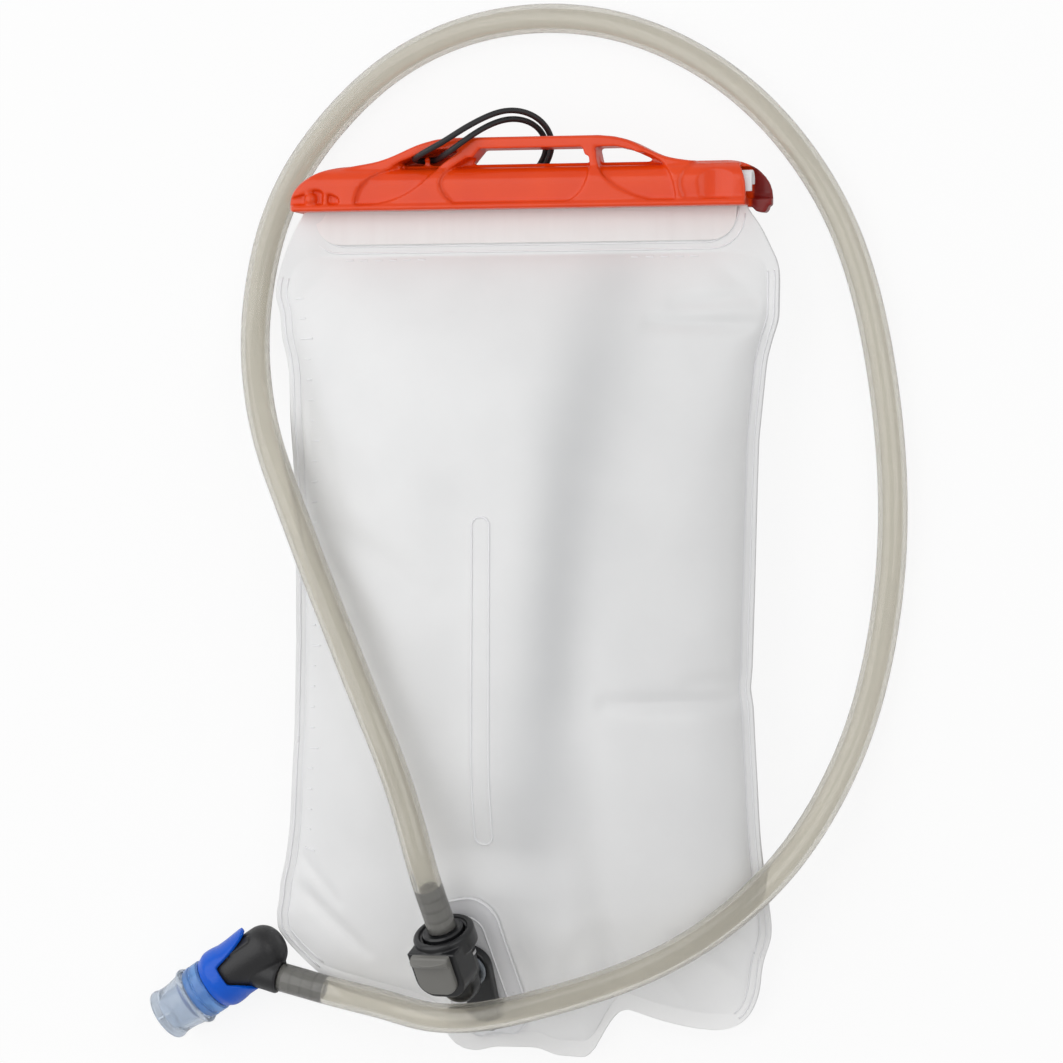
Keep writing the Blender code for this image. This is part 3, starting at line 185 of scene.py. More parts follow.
# Raised beads of the welds: radii, lifts off the film, and how far inside the edges they run
BEAD = 0.3 * MM
BEAD_SIDES = 2
BAFFLE_BEAD = 0.38 * MM
BAFFLE_BEAD_LIFT = 0.05 * MM
EDGE_BEAD_LIFT = 0.02 * MM
EDGE_BEAD_INSETS = (1.6 * MM, 3.9 * MM)
EDGE_BEAD_FOOT = 3.0 * MM
EDGE_BEAD_TOP_Y = 112.0 * MM
PATCH_BEAD = 0.35 * MM
PATCH_BEAD_LIFT = 1.35 * MM
PATCH_BEAD_INSETS = (0.3 * MM, 6.2 * MM)

# Mouth, drawn about the middle of the photographed mouth
MOUTH_MIDDLE = 0.6 * MM
MOUTH_HALF = 75.0 * MM
STRIP = 0.5 * MM
STRIP_FOOT_Y = 122.4 * MM
STRIP_CORNER = 9.0 * MM
STRIP_SQUARE = 0.3 * MM
STRIP_STAND = 0.15 * MM
STRIP_ROUNDING = 0.2 * MM
STRIP_BORDER = 2.9 * MM
STRIP_BEAD_INSETS = (0.0, 2.2 * MM)
STRIP_BEAD_SINK = 0.1 * MM
STRIP_BEAD_END = 0.6 * MM
LIP = 1.6 * MM
LIP_BEND = 2.4 * MM
LIP_OVERHANG = 2.6 * MM
LIP_TAIL = 6.0 * MM
LIP_GAP = 0.3 * MM

# Marks welded into the film: fill line dashes and volume ticks. Numbers without MM are in mm
FILL_LINE_Y = 117.0 * MM
DASH_RUNS = ((-62.0, -34.0), (40.0, 66.0))
DASH_PITCH = 5.2
DASH = 2.8
TICK_INSET = 7.5
TICK_Y = (-88.0, 104.0)
TICK_COUNT = 28
TICK = 3.0
LONG_TICK = 5.5
LONG_TICK_EVERY = 5
MARK_WIDTH = 0.55 * MM
MARK_HEIGHT = 0.25 * MM

# Slide closure, in the solids' frame
BAR_FOOT_Y = 134.2 * MM
BAR_TOP_Y = 149.8 * MM
BAR_LEFT = -82.2 * MM
BAR_RIGHT = 87.0 * MM
BAR_FRONT_Z = 30.0 * MM
BAR_BACK_Z = 13.0 * MM
BAR_WALL = 2.5 * MM
HANDLE_FRONT_Z = 27.2 * MM
HANDLE_BACK_Z = 15.6 * MM
PANEL_DEPTH = 1.2 * MM
# OPEN_END_X: where the open end starts, and with it the painted shade inside
OPEN_END_X = 79.6 * MM
REACH = 20.0 * MM

# Coupling, with its stations along the hose's axis
COUPLING_TURN = 28.0
PLUG_NOSE = 9.3 * MM
HOSE_STATION = 22.2 * MM
AXIS_HEIGHT = 13.4 * MM
BUTTON_CANT = 24.0

# Hose and tether, with their routes in mm
HOSE_DIAMETER = 10.2 * MM
HOSE_BORE = 7.0 * MM
HOSE_LEAD = 18.0 * MM
HOSE_FOLLOWS_PLUG = (0.020, 0.150)
HOSE_ROUTE = (
    (-31.5, -70.0, 61.5), (-38.0, -51.0, 63.0), (-47.0, -31.0, 61.0), (-57.0, -10.0, 56.5),
    (-67.5, 11.0, 50.0), (-78.0, 31.0, 41.0), (-88.5, 52.0, 31.5), (-96.5, 73.0, 19.5),
    (-100.5, 94.0, 9.4), (-99.5, 113.0, 5.6), (-95.0, 131.0, 5.2), (-86.0, 150.0, 5.2),
    (-72.5, 167.5, 5.2), (-54.0, 184.0, 5.2), (-30.5, 196.0, 5.2), (-2.0, 201.5, 5.2),
    (26.5, 199.0, 5.2), (52.0, 189.5, 5.2), (75.0, 174.0, 5.2), (94.0, 153.5, 5.2),
    (109.0, 128.0, 5.2), (118.5, 99.0, 5.2), (124.0, 68.0, 5.2), (126.5, 37.0, 5.2),
    (125.5, 6.0, 5.2), (121.5, -21.0, 5.4), (115.0, -46.0, 7.4), (105.5, -69.0, 13.0),
    (93.5, -89.0, 20.8), (78.0, -106.0, 28.6), (58.0, -120.5, 33.6), (34.0, -131.5, 37.0),
    (10.0, -139.0, 40.4), (-13.0, -143.9, 41.4), (-31.0, -144.2, 36.6), (-46.0, -142.0, 28.4),
    (-58.5, -140.4, 20.6),
)
TETHER_DIAMETER = 2.1 * MM
TETHER_ENDS = ((-62.0, 127.0, 16.55), (-58.0, 128.05, 16.55))
TETHER_ROUTE = (
    (-61.0, 127.2, 12.6), (-54.0, 128.4, 8.8), (-38.0, 131.0, 7.2), (-18.0, 135.5, 7.0), (-3.0, 142.5, 7.6),
    (5.0, 150.5, 8.8), (7.5, 158.5, 11.0), (4.0, 165.5, 15.0), (-4.5, 168.4, 20.5), (-12.5, 165.6, 26.5),
    (-20.0, 161.0, 30.2), (-27.0, 156.8, 30.6), (-33.0, 153.8, 29.8), (-37.0, 152.1, 26.6),
    (-38.2, 151.7, 22.6), (-36.8, 151.6, 19.2), (-33.2, 151.7, 18.6), (-30.4, 152.0, 21.2),
    (-28.0, 152.4, 25.8), (-24.0, 154.0, 29.8), (-17.6, 158.4, 29.6), (-10.9, 163.3, 24.3),
    (-4.2, 165.6, 18.2), (2.3, 163.4, 12.8), (5.0, 157.7, 9.0), (2.9, 151.6, 6.6), (-4.3, 144.9, 5.0),
    (-18.6, 138.4, 4.2), (-38.0, 134.4, 4.2), (-50.0, 132.6, 5.8), (-56.6, 131.4, 9.6), (-58.6, 129.6, 14.0),
)

# Bite valve, and the barbs that hold the hose at both ends
BRANCH_ANGLE = 47.0
BRANCH_LENGTH = 15.5 * MM
BARB_LENGTH = 17.0 * MM
BARB_RINGS = 4
BARB_PEAK = 4.0 * MM
BARB_STEP = 0.4 * MM
BARB_BORE = 1.8 * MM
RIB_ANGLE = 40
WING_ANGLE = 64
WING_SPREAD = 44
LIP_ANGLE = -95
LIP_SPREAD = 70

# Camera, at the photograph's angle
CAMERA_SIDE = 14.0
CAMERA_TARGET = (3.85 * MM, 22.6 * MM, 25.0 * MM)
CAMERA_DISTANCE = 1.7
CAMERA_LENS = 166.9

# Stage and lamps: name, place, size and power
FLOOR_SIZE = 6
FLOOR_WHITENESS = 0.88
WORLD_LIGHT = 0.58
LAMPS = (
    ("key", (-1.1, 0.4, 1.35), (2.2, 2.2), 18.0),
    ("fill", (1.2, 0.5, 1.5), (1.2, 1.2), 6.0),
)


# Modelling helpers


def deselect():
    bpy.ops.object.select_all(action="DESELECT")


def make_active(piece):
    deselect()
    piece.select_set(True)
    bpy.context.view_layer.objects.active = piece


def edit_all(piece):
    make_active(piece)
    bpy.ops.object.mode_set(mode="EDIT")
    bpy.ops.mesh.select_all(action="SELECT")


def leave_edit():
    bpy.ops.object.mode_set(mode="OBJECT")


def face_outwards(piece, weld=False):
    """Turn every face outwards, once points in one place are joined where that is asked."""
    edit_all(piece)
    if weld:
        bpy.ops.mesh.remove_doubles(threshold=SAME_PLACE)
    bpy.ops.mesh.normals_make_consistent(inside=False)
    leave_edit()


def place_points(piece, points):
    piece.data.vertices.foreach_set("co", np.asarray(points, np.float32).ravel())
    piece.data.update()


def points_of(piece):
    points = np.empty(3 * len(piece.data.vertices), np.float32)
    piece.data.vertices.foreach_get("co", points)
    return points.reshape(-1, 3).astype(float)


def new_piece(name):
    piece = bpy.context.object
    piece.name = name
    piece.data.name = name
    return piece


def apply_change(piece, kind, **settings):
    """Add a modifier with these settings and apply it."""
    change = piece.modifiers.new(kind, kind)
    for setting, value in settings.items():
        setattr(change, setting, value)
    make_active(piece)
    bpy.ops.object.modifier_apply(modifier=change.name)


def cut(piece, tool, operation="DIFFERENCE"):
    apply_change(piece, "BOOLEAN", operation=operation, solver="EXACT", object=tool)
    bpy.data.objects.remove(tool, do_unlink=True)


def join(piece, tool):
    cut(piece, tool, "UNION")


def shade_smooth(piece, angle=None):
    make_active(piece)
    if angle is None:
        bpy.ops.object.shade_smooth()
    else:
        bpy.ops.object.shade_smooth_by_angle(angle=radians(angle))


def melt(piece, voxel, rounds, keep):
    """Round a piece's edges as a mould does: an even skin, smoothed, then thinned where it is flat."""
    apply_change(piece, "REMESH", mode="VOXEL", voxel_size=voxel)
    apply_change(piece, "SMOOTH", factor=0.5, iterations=rounds)
    apply_change(piece, "DECIMATE", ratio=keep)
    shade_smooth(piece)


def plate(name, outline, low, high, plane="XY", rounding=0.0, segments=4):
    """A flat face on the outline's points, extruded along the third axis, with its end rims rounded."""
    first, second, along = {"XY": (0, 1, 2), "YZ": (1, 2, 0), "ZX": (2, 0, 1)}[plane]
    deselect()
    bpy.ops.mesh.primitive_circle_add(vertices=len(outline), fill_type="NGON")
    piece = new_piece(name)
    points = np.zeros((len(outline), 3))
    points[:, first], points[:, second] = np.array(outline).T
    points[:, along] = low
    place_points(piece, points)
    edit_all(piece)
    lift = [0.0, 0.0, 0.0]
    lift[along] = high - low
    bpy.ops.mesh.extrude_region_move(TRANSFORM_OT_translate={"value": lift})
    bpy.ops.mesh.select_all(action="SELECT")
    bpy.ops.mesh.normals_make_consistent(inside=False)
    leave_edit()
    if rounding:
        round_rims(piece, along, rounding, segments)
    return piece


def round_rims(piece, along, rounding, segments):
    """Bevel the edges that lie square to one axis."""
    make_active(piece)
    bpy.ops.object.mode_set(mode="EDIT")
    bpy.ops.mesh.select_mode(type="EDGE")
    bpy.ops.mesh.select_all(action="DESELECT")
    leave_edit()
    points = piece.data.vertices
    for edge in piece.data.edges:
        a, b = (points[k].co[along] for k in edge.vertices)
        edge.select = abs(a - b) < SAME_PLACE
    bpy.ops.object.mode_set(mode="EDIT")
    bpy.ops.mesh.bevel(offset=rounding, segments=segments, affect="EDGES")
    bpy.ops.mesh.select_mode(type="VERT")
    leave_edit()


def block(name, low, high, rounding=0.0):
    outline = [(low[0], low[1]), (high[0], low[1]), (high[0], high[1]), (low[0], high[1])]
    return plate(name, outline, low[2], high[2], rounding=rounding)


def turned(name, profile, steps=96):
    """A closed loop of (radius, station) points spun about Z."""
    deselect()
    bpy.ops.mesh.primitive_circle_add(vertices=len(profile), fill_type="NOTHING")
    piece = new_piece(name)
    place_points(piece, [(radius, 0.0, station) for radius, station in profile])
    edit_all(piece)
    bpy.ops.mesh.spin(steps=steps, angle=2 * pi, center=(0, 0, 0), axis=(0, 0, 1))
    bpy.ops.mesh.select_all(action="SELECT")
    bpy.ops.mesh.remove_doubles(threshold=SAME_PLACE)
    bpy.ops.mesh.delete_loose()
    bpy.ops.mesh.select_all(action="SELECT")
    bpy.ops.mesh.normals_make_consistent(inside=False)
    leave_edit()
    return piece


def rod(name, radius, low, high):
    return turned(name, [(0, low), (radius, low), (radius, high), (0, high)], steps=48)


def grid(name, columns, rows):
    """A flat sheet of faces, with its points' shares from -1 to 1 across and 0 to 1 along."""
    deselect()
    bpy.ops.mesh.primitive_grid_add(x_subdivisions=columns, y_subdivisions=rows, size=2)
    piece = new_piece(name)
    points = points_of(piece)
    return piece, points[:, 0], (points[:, 1] + 1) / 2


def arc(centre, radii, start, end, steps=8):
    """Points on an ellipse from one angle to another, in degrees."""
    angles = np.radians(np.linspace(start, end, steps + 1))
    return [(centre[0] + radii[0] * cos(a), centre[1] + radii[1] * sin(a)) for a in angles]


def rounded(low, high, radii, steps=8):
    """Rectangle with its own radius at each corner: low-low, high-low, high-high, low-high."""
    corners = (
        (low[0], low[1], 1, 1),
        (high[0], low[1], -1, 1),
        (high[0], high[1], -1, -1),
        (low[0], high[1], 1, -1),
    )
    points = []
    for k, ((x, y, side_x, side_y), radius) in enumerate(zip(corners, radii)):
        centre = (x + side_x * radius, y + side_y * radius)
        points += arc(centre, (radius, radius), 180 + 90 * k, 270 + 90 * k, steps)
    return points


def through(route, count):
    """Evenly spaced points on a natural cubic spline through the route's own points."""
    knots = np.array(route, dtype=float)
    t = np.concatenate([[0.0], np.cumsum(np.linalg.norm(np.diff(knots, axis=0), axis=1))])
    h = np.diff(t)
    system = np.eye(len(t))
    bend = np.zeros_like(knots)
    for k in range(1, len(t) - 1):
        system[k, k - 1:k + 2] = h[k - 1], 2 * (h[k - 1] + h[k]), h[k]
        bend[k] = 6 * ((knots[k + 1] - knots[k]) / h[k] - (knots[k] - knots[k - 1]) / h[k - 1])
    curvature = np.linalg.solve(system, bend)
    s = np.linspace(0, t[-1], SPLINE_STEPS * len(t))
    k = np.clip(np.searchsorted(t, s) - 1, 0, len(h) - 1)
    a = ((t[k + 1] - s) / h[k])[:, None]
    b = 1 - a
    curved = (a**3 - a) * curvature[k] + (b**3 - b) * curvature[k + 1]
    fine = a * knots[k] + b * knots[k + 1] + curved * (h[k] ** 2)[:, None] / 6
    length = np.concatenate([[0.0], np.cumsum(np.linalg.norm(np.diff(fine, axis=0), axis=1))])
    even = np.linspace(0, length[-1], count)
    return np.stack([np.interp(even, length, fine[:, axis]) for axis in range(knots.shape[1])], axis=1)


def at_mm(*place):
    return tuple(value * MM for value in place)


def in_mm(points):
    return [at_mm(*point) for point in points]


def swept(points, count=24):
    """Evenly spaced points on a curve through points given in mm."""
    return [tuple(point) for point in through(in_mm(points), count)]


def tube(name, points, radius, sides, closed=False, caps=True):
    """A round cord along the points, as a mesh."""
    line = bpy.data.curves.new(name, "CURVE")
    line.dimensions = "3D"
    line.bevel_depth = radius
    line.bevel_resolution = sides
    line.use_fill_caps = caps
    spline = line.splines.new("POLY")
    spline.points.add(len(points) - 1)
    for knot, point in zip(spline.points, points):
        knot.co = (*point, 1.0)
    spline.use_cyclic_u = closed
    piece = bpy.data.objects.new(name, line)
    bpy.context.scene.collection.objects.link(piece)
    make_active(piece)
    bpy.ops.object.convert(target="MESH")
    piece = new_piece(name)
    face_outwards(piece, weld=True)
    shade_smooth(piece)
    return piece


def gather(name, parts):
    """Join several meshes into one piece."""
    deselect()
    for part in parts:
        part.select_set(True)
    bpy.context.view_layer.objects.active = parts[0]
    bpy.ops.object.join()
    return new_piece(name)


def axes(origin, z, y):
    """Placement with its Z axis along z and its Y axis as near y as that allows."""
    z = Vector(z).normalized()
    y = (Vector(y) - Vector(y).dot(z) * z).normalized()
    return Matrix.Translation(origin) @ Matrix((y.cross(z), y, z)).transposed().to_4x4()


def put(piece, placement):
    piece.data.transform(placement)
    piece.data.update()
    return piece


def ease(t):
    t = np.clip(t, 0.0, 1.0)
    return t * t * (3 - 2 * t)


# Finishes


class Wire:
    """A shader socket that takes part in Python sums, each of which adds a Math node."""

    def __init__(self, finish, socket):
        self.finish = finish
        self.socket = socket


def sum_of(operation, swapped):
    """Method that adds a Math node, with its sides swapped where the wire stands on the right."""

    def add_node(wire, other):
        first, second = (other, wire) if swapped else (wire, other)
        return wire.finish.node("ShaderNodeMath", {"operation": operation}, {0: first, 1: second})

    return add_node


for sign, operation in {"add": "ADD", "sub": "SUBTRACT", "mul": "MULTIPLY", "pow": "POWER"}.items():
    setattr(Wire, f"__{sign}__", sum_of(operation, swapped=False))
    setattr(Wire, f"__r{sign}__", sum_of(operation, swapped=True))


class Finish:
    """A material with one Principled shader, and the nodes that vary it over a surface."""

    def __init__(self, name, colour, roughness, **constants):
        self.material = bpy.data.materials.new(name)
        self.material.use_nodes = True
        self.nodes = self.material.node_tree.nodes
        self.links = self.material.node_tree.links
        self.shader = self.nodes["Principled BSDF"]
        self.set("Base Color", (*colour, 1.0))
        self.set("Roughness", roughness)
        for socket, value in constants.items():
            self.set(socket.replace("_", " "), value)

    def set(self, socket, value):
        if isinstance(value, Wire):
            self.links.new(value.socket, self.shader.inputs[socket])
        else:
            self.shader.inputs[socket].default_value = value

    def node(self, kind, settings=None, sockets=None, output=0):
        added = self.nodes.new(kind)
        for setting, value in (settings or {}).items():
            setattr(added, setting, value)
        for socket, value in (sockets or {}).items():
            if isinstance(value, Wire):
                self.links.new(value.socket, added.inputs[socket])
            else:
                added.inputs[socket].default_value = value
        return Wire(self, added.outputs[output])

    def place(self):
        return self.node("ShaderNodeTexCoord", output="Object")

    def speckle(self, size, detail, stretch=(1, 1, 1)):
        """Noise whose spots are about size across, 0 to 1 with its middle at a half."""
        placed = self.node("ShaderNodeMapping", {}, {"Vector": self.place(), "Scale": stretch})
        return self.node("ShaderNodeTexNoise", {}, {"Vector": placed, "Scale": 1 / size, "Detail": detail})

    def shades(self, dark, light, amount):
        """Colour between two shades."""
        sockets = {0: amount, 6: (*dark, 1.0), 7: (*light, 1.0)}
        return self.node("ShaderNodeMix", {"data_type": "RGBA"}, sockets, output=2)

    def bump(self, height, depth, strength):
        sockets = {"Height": height, "Distance": depth, "Strength": strength}
        self.set("Normal", self.node("ShaderNodeBump", {}, sockets))


def linear(red, green, blue):
    """Colour as seen on a screen, 0 to 255, turned to the shader's scale."""
    return tuple(((c / 255 + 0.055) / 1.055) ** 2.4 if c > 10 else c / 3294.6 for c in (red, green, blue))


def milky_film():
    """Milky film, with painted shade that darkens it down the hollow beside the baffle and painted light that
    makes it paler at the foot.
    """
    film = Finish("milky film", linear(248, 248, 249), 0.36, Transmission_Weight=0.1, IOR=1.42)
    x, y = (film.node("ShaderNodeSeparateXYZ", {}, {0: film.place()}, output=axis) for axis in (0, 1))
    # Painted shade: a band beside the baffle where the film's colour is darker
    middle = PAINTED_SHADE_X + PAINTED_SHADE_LEAN * y
    off = (x - middle) * (1 / PAINTED_SHADE_WIDTH)
    end = (y - PAINTED_SHADE_Y) * (1 / PAINTED_SHADE_REACH)
    natural = 2.718
    # hollow is the strength of the painted shade beside the baffle
    hollow = natural ** (0 - off * off) * natural ** (0 - end**4)
    haze = film.speckle(26 * MM, 3)
    # Painted light: foot pales the film's colour towards the foot, against the shade there
    foot = film.node("ShaderNodeMapRange", {}, {0: y, 1: FOOT_PAINTED_LIGHT_Y, 2: FOOT_Y})
    # amount: random haze, plus the painted shade beside the baffle, less the painted light at the foot
    amount = 0.2 + 0.2 * haze + 0.55 * hollow - 0.32 * foot
    film.set("Base Color", film.shades(linear(252, 252, 252), linear(201, 202, 203), amount))
    film.set("Roughness", 0.26 + 0.2 * film.speckle(9 * MM, 4))
    film.bump(film.speckle(7 * MM, 4, (1, 0.55, 1)), 0.25 * MM, 0.35)
    return film.material


def welded_film(name, roughness):
    weld = Finish(name, linear(244, 244, 246), roughness, Transmission_Weight=0.12, IOR=1.42)
    weld.set("Roughness", roughness + 0.12 * weld.speckle(6 * MM, 2))
    return weld.material


def white_strip():
    strip = Finish("white strip", linear(240, 235, 234), 0.4, Transmission_Weight=0.18, IOR=1.45)
    streaks = strip.speckle(4 * MM, 3, (1, 0.08, 1))
    strip.set("Base Color", strip.shades(linear(244, 240, 239), linear(253, 251, 250), streaks))
    strip.set("Roughness", 0.34 + 0.16 * streaks)
    strip.bump(streaks, 0.08 * MM, 0.4)
    return strip.material


def moulded(name, dark, light, roughness, grain, depth, **constants):
    """Moulded plastic: a fine grain, slow drifts of colour and gloss."""
    finish = Finish(name, light, roughness, **constants)
    drift = finish.speckle(14 * MM, 3)
    finish.set("Base Color", finish.shades(dark, light, drift))
    fine = finish.speckle(grain, 2)
    finish.set("Roughness", roughness - 0.06 + 0.12 * drift)
    finish.bump(fine, depth, 0.5)
    return finish.material


def orange_plastic():
    """Glossy orange plastic, with painted shade inside the open end: deep red there, where no light reaches.
    """
    gloss = {"Specular_IOR_Level": 0.3, "Coat_Weight": 0.3, "Coat_Roughness": 0.1}
    orange = Finish("orange plastic", linear(220, 66, 16), 0.32, **gloss)
    drift = orange.speckle(14 * MM, 3)
    plain = orange.shades(linear(216, 56, 4), linear(234, 72, 10), drift)
    x = orange.node("ShaderNodeSeparateXYZ", {}, {0: orange.place()})
    # Painted shade: past the open end the colour turns deep red, as the inside lies in shade
    inside = {0: (x - OPEN_END_X) * (1 / MM), 6: plain, 7: (*linear(128, 14, 8), 1.0)}
    orange.set("Base Color", orange.node("ShaderNodeMix", {"data_type": "RGBA"}, inside, output=2))
    orange.set("Roughness", 0.26 + 0.12 * drift)
    orange.bump(orange.speckle(0.35 * MM, 2), 0.03 * MM, 0.5)
    return orange.material


def glassy(name, colour, roughness, weight, streak):
    """Clear soft plastic, faintly streaked."""
    glass = Finish(name, colour, roughness, Transmission_Weight=weight, IOR=1.47)
    streaks = glass.speckle(streak, 2)
    glass.set("Roughness", roughness - 0.03 + 0.06 * streaks)
    glass.bump(streaks, 0.05 * MM, 0.3)
    return glass.material


FILM_FINISH = milky_film()
WELD_FINISH = welded_film("welded film", 0.24)
STRIP_FINISH = white_strip()
ORANGE = orange_plastic()
BLACK = moulded("black plastic", linear(16, 17, 19), linear(26, 27, 29), 0.3, 0.5 * MM, 0.02 * MM)
GRAINED = moulded("grained black plastic", linear(22, 22, 24), linear(34, 34, 36), 0.4, 0.55 * MM, 0.2 * MM)
GREY = moulded("grey plastic", linear(104, 103, 99), linear(118, 117, 113), 0.42, 0.3 * MM, 0.03 * MM)
RUBBER = moulded("black rubber", linear(24, 24, 26), linear(34, 34, 37), 0.5, 0.4 * MM, 0.02 * MM)
STEEL = moulded("spring steel", (0.5, 0.5, 0.51), (0.6, 0.6, 0.61), 0.3, 0.2 * MM, 0.01 * MM, Metallic=1.0)
WHITE = moulded("white plastic", linear(216, 216, 214), linear(232, 232, 230), 0.4, 0.3 * MM, 0.02 * MM)
SMOKE = moulded("smoke plastic", linear(72, 74, 78), linear(92, 94, 98), 0.2, 1.5 * MM, 0.02 * MM)
HOSE_FINISH = glassy("clear hose", linear(228, 225, 216), 0.16, 0.86, 9 * MM)
BLUE = moulded(
    "blue plastic", linear(0, 72, 190), linear(0, 98, 216), 0.24, 0.8 * MM, 0.01 * MM,
    Specular_IOR_Level=0.35,
)
CLEAR_BLUE = glassy("clear blue plastic", linear(120, 172, 236), 0.14, 0.55, 2 * MM)
SILICONE = glassy("clear silicone", linear(214, 224, 236), 0.16, 0.8, 2 * MM)


def dress_weld(piece, *nodes):
    """Dress a piece of the film's welds."""
    dress(piece, WELD_FINISH, "film", "reservoir", *nodes)


def dress(piece, finish, slot, body, *nodes):
    """Give a finished piece its material and its body, and hide the nodes that it stands for. The slot
    argument is not used.
    """
    piece.data.materials.clear()
    piece.data.materials.append(finish)
    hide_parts(*nodes)
    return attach(piece, body)


# Reservoir


def edge_line(knots, at):
    """Edge through its measured points, with its kinks eased."""
    where, place = np.array(knots).T * MM
    shifts = np.linspace(-1, 1, 9) * EDGE_EASE
    return np.mean([np.interp(at + shift, where, place) for shift in shifts], axis=0)


def swell(t, fullness):
    """Rise from 0 to 1, steep at first, as blown-up film leaves its weld."""
    t = np.clip(t, 0.0, 1.0)
    return (1 - (1 - t) ** 2) ** fullness


def seam_z(y):
    low = FOOT_SEAM_Z + (SIDE_SEAM_Z - FOOT_SEAM_Z) * ease((y - FOOT_Y) / (SIDE_SEAM_Y - FOOT_Y))
    return low + (MOUTH_Z - SIDE_SEAM_Z) * ease((y - SIDE_SEAM_Y) / (NECK_FOOT_Y - SIDE_SEAM_Y))


def corner_inset(row, radius):
    """How far a round corner at the foot draws the side in on a row."""
    share = np.clip((FOOT_Y + radius - row) / radius, 0, 1)
    return radius * (1 - np.sqrt(1 - share**2))


def film_plan(across, row):
    """Plan place of a share of the width on a row, and its distance inside the side welds."""
    left = edge_line(LEFT_EDGE, row) + corner_inset(row, LEFT_CORNER)
    right = edge_line(RIGHT_EDGE, row) - corner_inset(row, RIGHT_CORNER)
    half = (right - left) / 2
    x = (left + right) / 2 + across * half
    shift = edge_line(FOOT_EDGE, x) - FOOT_Y
    y = row + shift * (1 - ease((row - FOOT_Y) / FOOT_FADE))
    inside = np.clip(across * half / (half - SIDE_SEAM), -1, 1)
    return x, y, inside, FOOT_Y + shift + FOOT_SEAM


def fullness(y, inside, weld_y, foot_rise, neck_fall):
    """How far a panel stands off the seam plane: 0 at the welds, 1 where it is full."""
    sides = (1 - inside**2) ** SIDE_FULLNESS
    rise = swell((y - weld_y) / foot_rise, FOOT_FULLNESS)
    return sides * rise * swell((NECK_FOOT_Y - y) / neck_fall, NECK_FULLNESS)


def groove_depth(x, y):
    """Soft grooves along straight runs, shallower towards their ends."""
    total = np.zeros_like(x)
    for x0, y0, x1, y1, depth, width in GROOVES:
        start = np.array((x0, y0)) * MM
        run = np.array((x1 - x0, y1 - y0)) * MM
        share = np.clip(((x - start[0]) * run[0] + (y - start[1]) * run[1]) / (run @ run), 0, 1)
        off = np.hypot(x - start[0] - share * run[0], y - start[1] - share * run[1])
        section = np.exp(-((off / (width * MM)) ** 2))
        taper = np.sqrt(np.sin(pi * (GROOVE_END + (1 - 2 * GROOVE_END) * share)))
        total += depth * MM * section * taper
    return total


def edge_waves(x, y, inside):
    """Slack film beside the welds: low waves that die out towards the middle."""
    drift = np.array([noise.noise((a / EDGE_WAVE_PITCH, b / EDGE_WAVE_PITCH, 0.0)) for a, b in zip(x, y)])
    near = np.exp(-(((1 - np.abs(inside)) * 0.5 * (cad_high.x - cad_low.x) / EDGE_WAVE_REACH) ** 2) / 4)
    return EDGE_WAVES * drift * near


def film_sheet(name, columns, rows):
    """Sheet in the film's outline, its points closer together towards the edges, and their plan places."""
    film, across, along = grid(name, columns, rows)
    across = across * (1 + ACROSS_EASE - ACROSS_EASE * across**2)
    along = along - ALONG_EASE * np.sin(2 * pi * along)
    return film, *film_plan(across, FOOT_Y + along * (FILM_TOP_Y - FOOT_Y))


def make_front_film():
    film, x, y, inside, weld_y = film_sheet("front_film", *FRONT_GRID)
    full = fullness(y, inside, weld_y, FOOT_RISE, NECK_FALL)
    run = ease((y - BAFFLE_FOOT_Y) / VALLEY_FOOT_RUN + 1) * ease((BAFFLE_TOP_Y - y) / VALLEY_NECK_RUN + 1)
    off = np.maximum(np.abs(x - BAFFLE_X) - BAFFLE_HALF_WIDTH, 0)
    valley = VALLEY_DEPTH * run * np.exp(-((off / VALLEY_FLANK) ** 2))
    soft = ease(4 * full)
    z = seam_z(y) + FILM_GAP + CROWN * full - soft * (valley + groove_depth(x, y))
    z = np.maximum(z + edge_waves(x, y, inside), seam_z(y) + FILM_GAP)
    place_points(film, np.stack([x, y, z], axis=1))
    apply_change(film, "SOLIDIFY", thickness=FILM, offset=1.0)
    shade_smooth(film)
    return dress(film, FILM_FINISH, "film", "reservoir", "front_panel")


def make_back_film():
    film, x, y, inside, weld_y = film_sheet("back_film", *BACK_GRID)
    full = fullness(y, inside, weld_y, BACK_RISE, BACK_FALL)
    sag = (seam_z(y) + BACK_SLACK) * full
    drop = seam_z(y) - FILM_GAP - sag
    level = FILM + BACK_CLEARANCE
    z = np.where(drop > 2 * level, drop, level + level * np.exp((drop - 2 * level) / level))
    place_points(film, np.stack([x, y, z], axis=1))
    apply_change(film, "SOLIDIFY", thickness=FILM, offset=-1.0)
    face_outwards(film)
    shade_smooth(film)
    dress(film, FILM_FINISH, "film", "reservoir", "back_panel")


def on_film(film, x, y, lift):
    """Point over the front film, and the way the film faces there."""
    _, place, normal, _ = film.ray_cast((x, y, ABOVE_FILM_Z), (0, 0, -1))
    return place + normal * lift, normal


def bead_on(film, name, plan, lift, radius, closed=False):
    """Thin raised line over the front film, along a run of plan points."""
    run = [on_film(film, *point, lift)[0] for point in plan]
    return tube(name, run, radius, BEAD_SIDES, closed=closed)


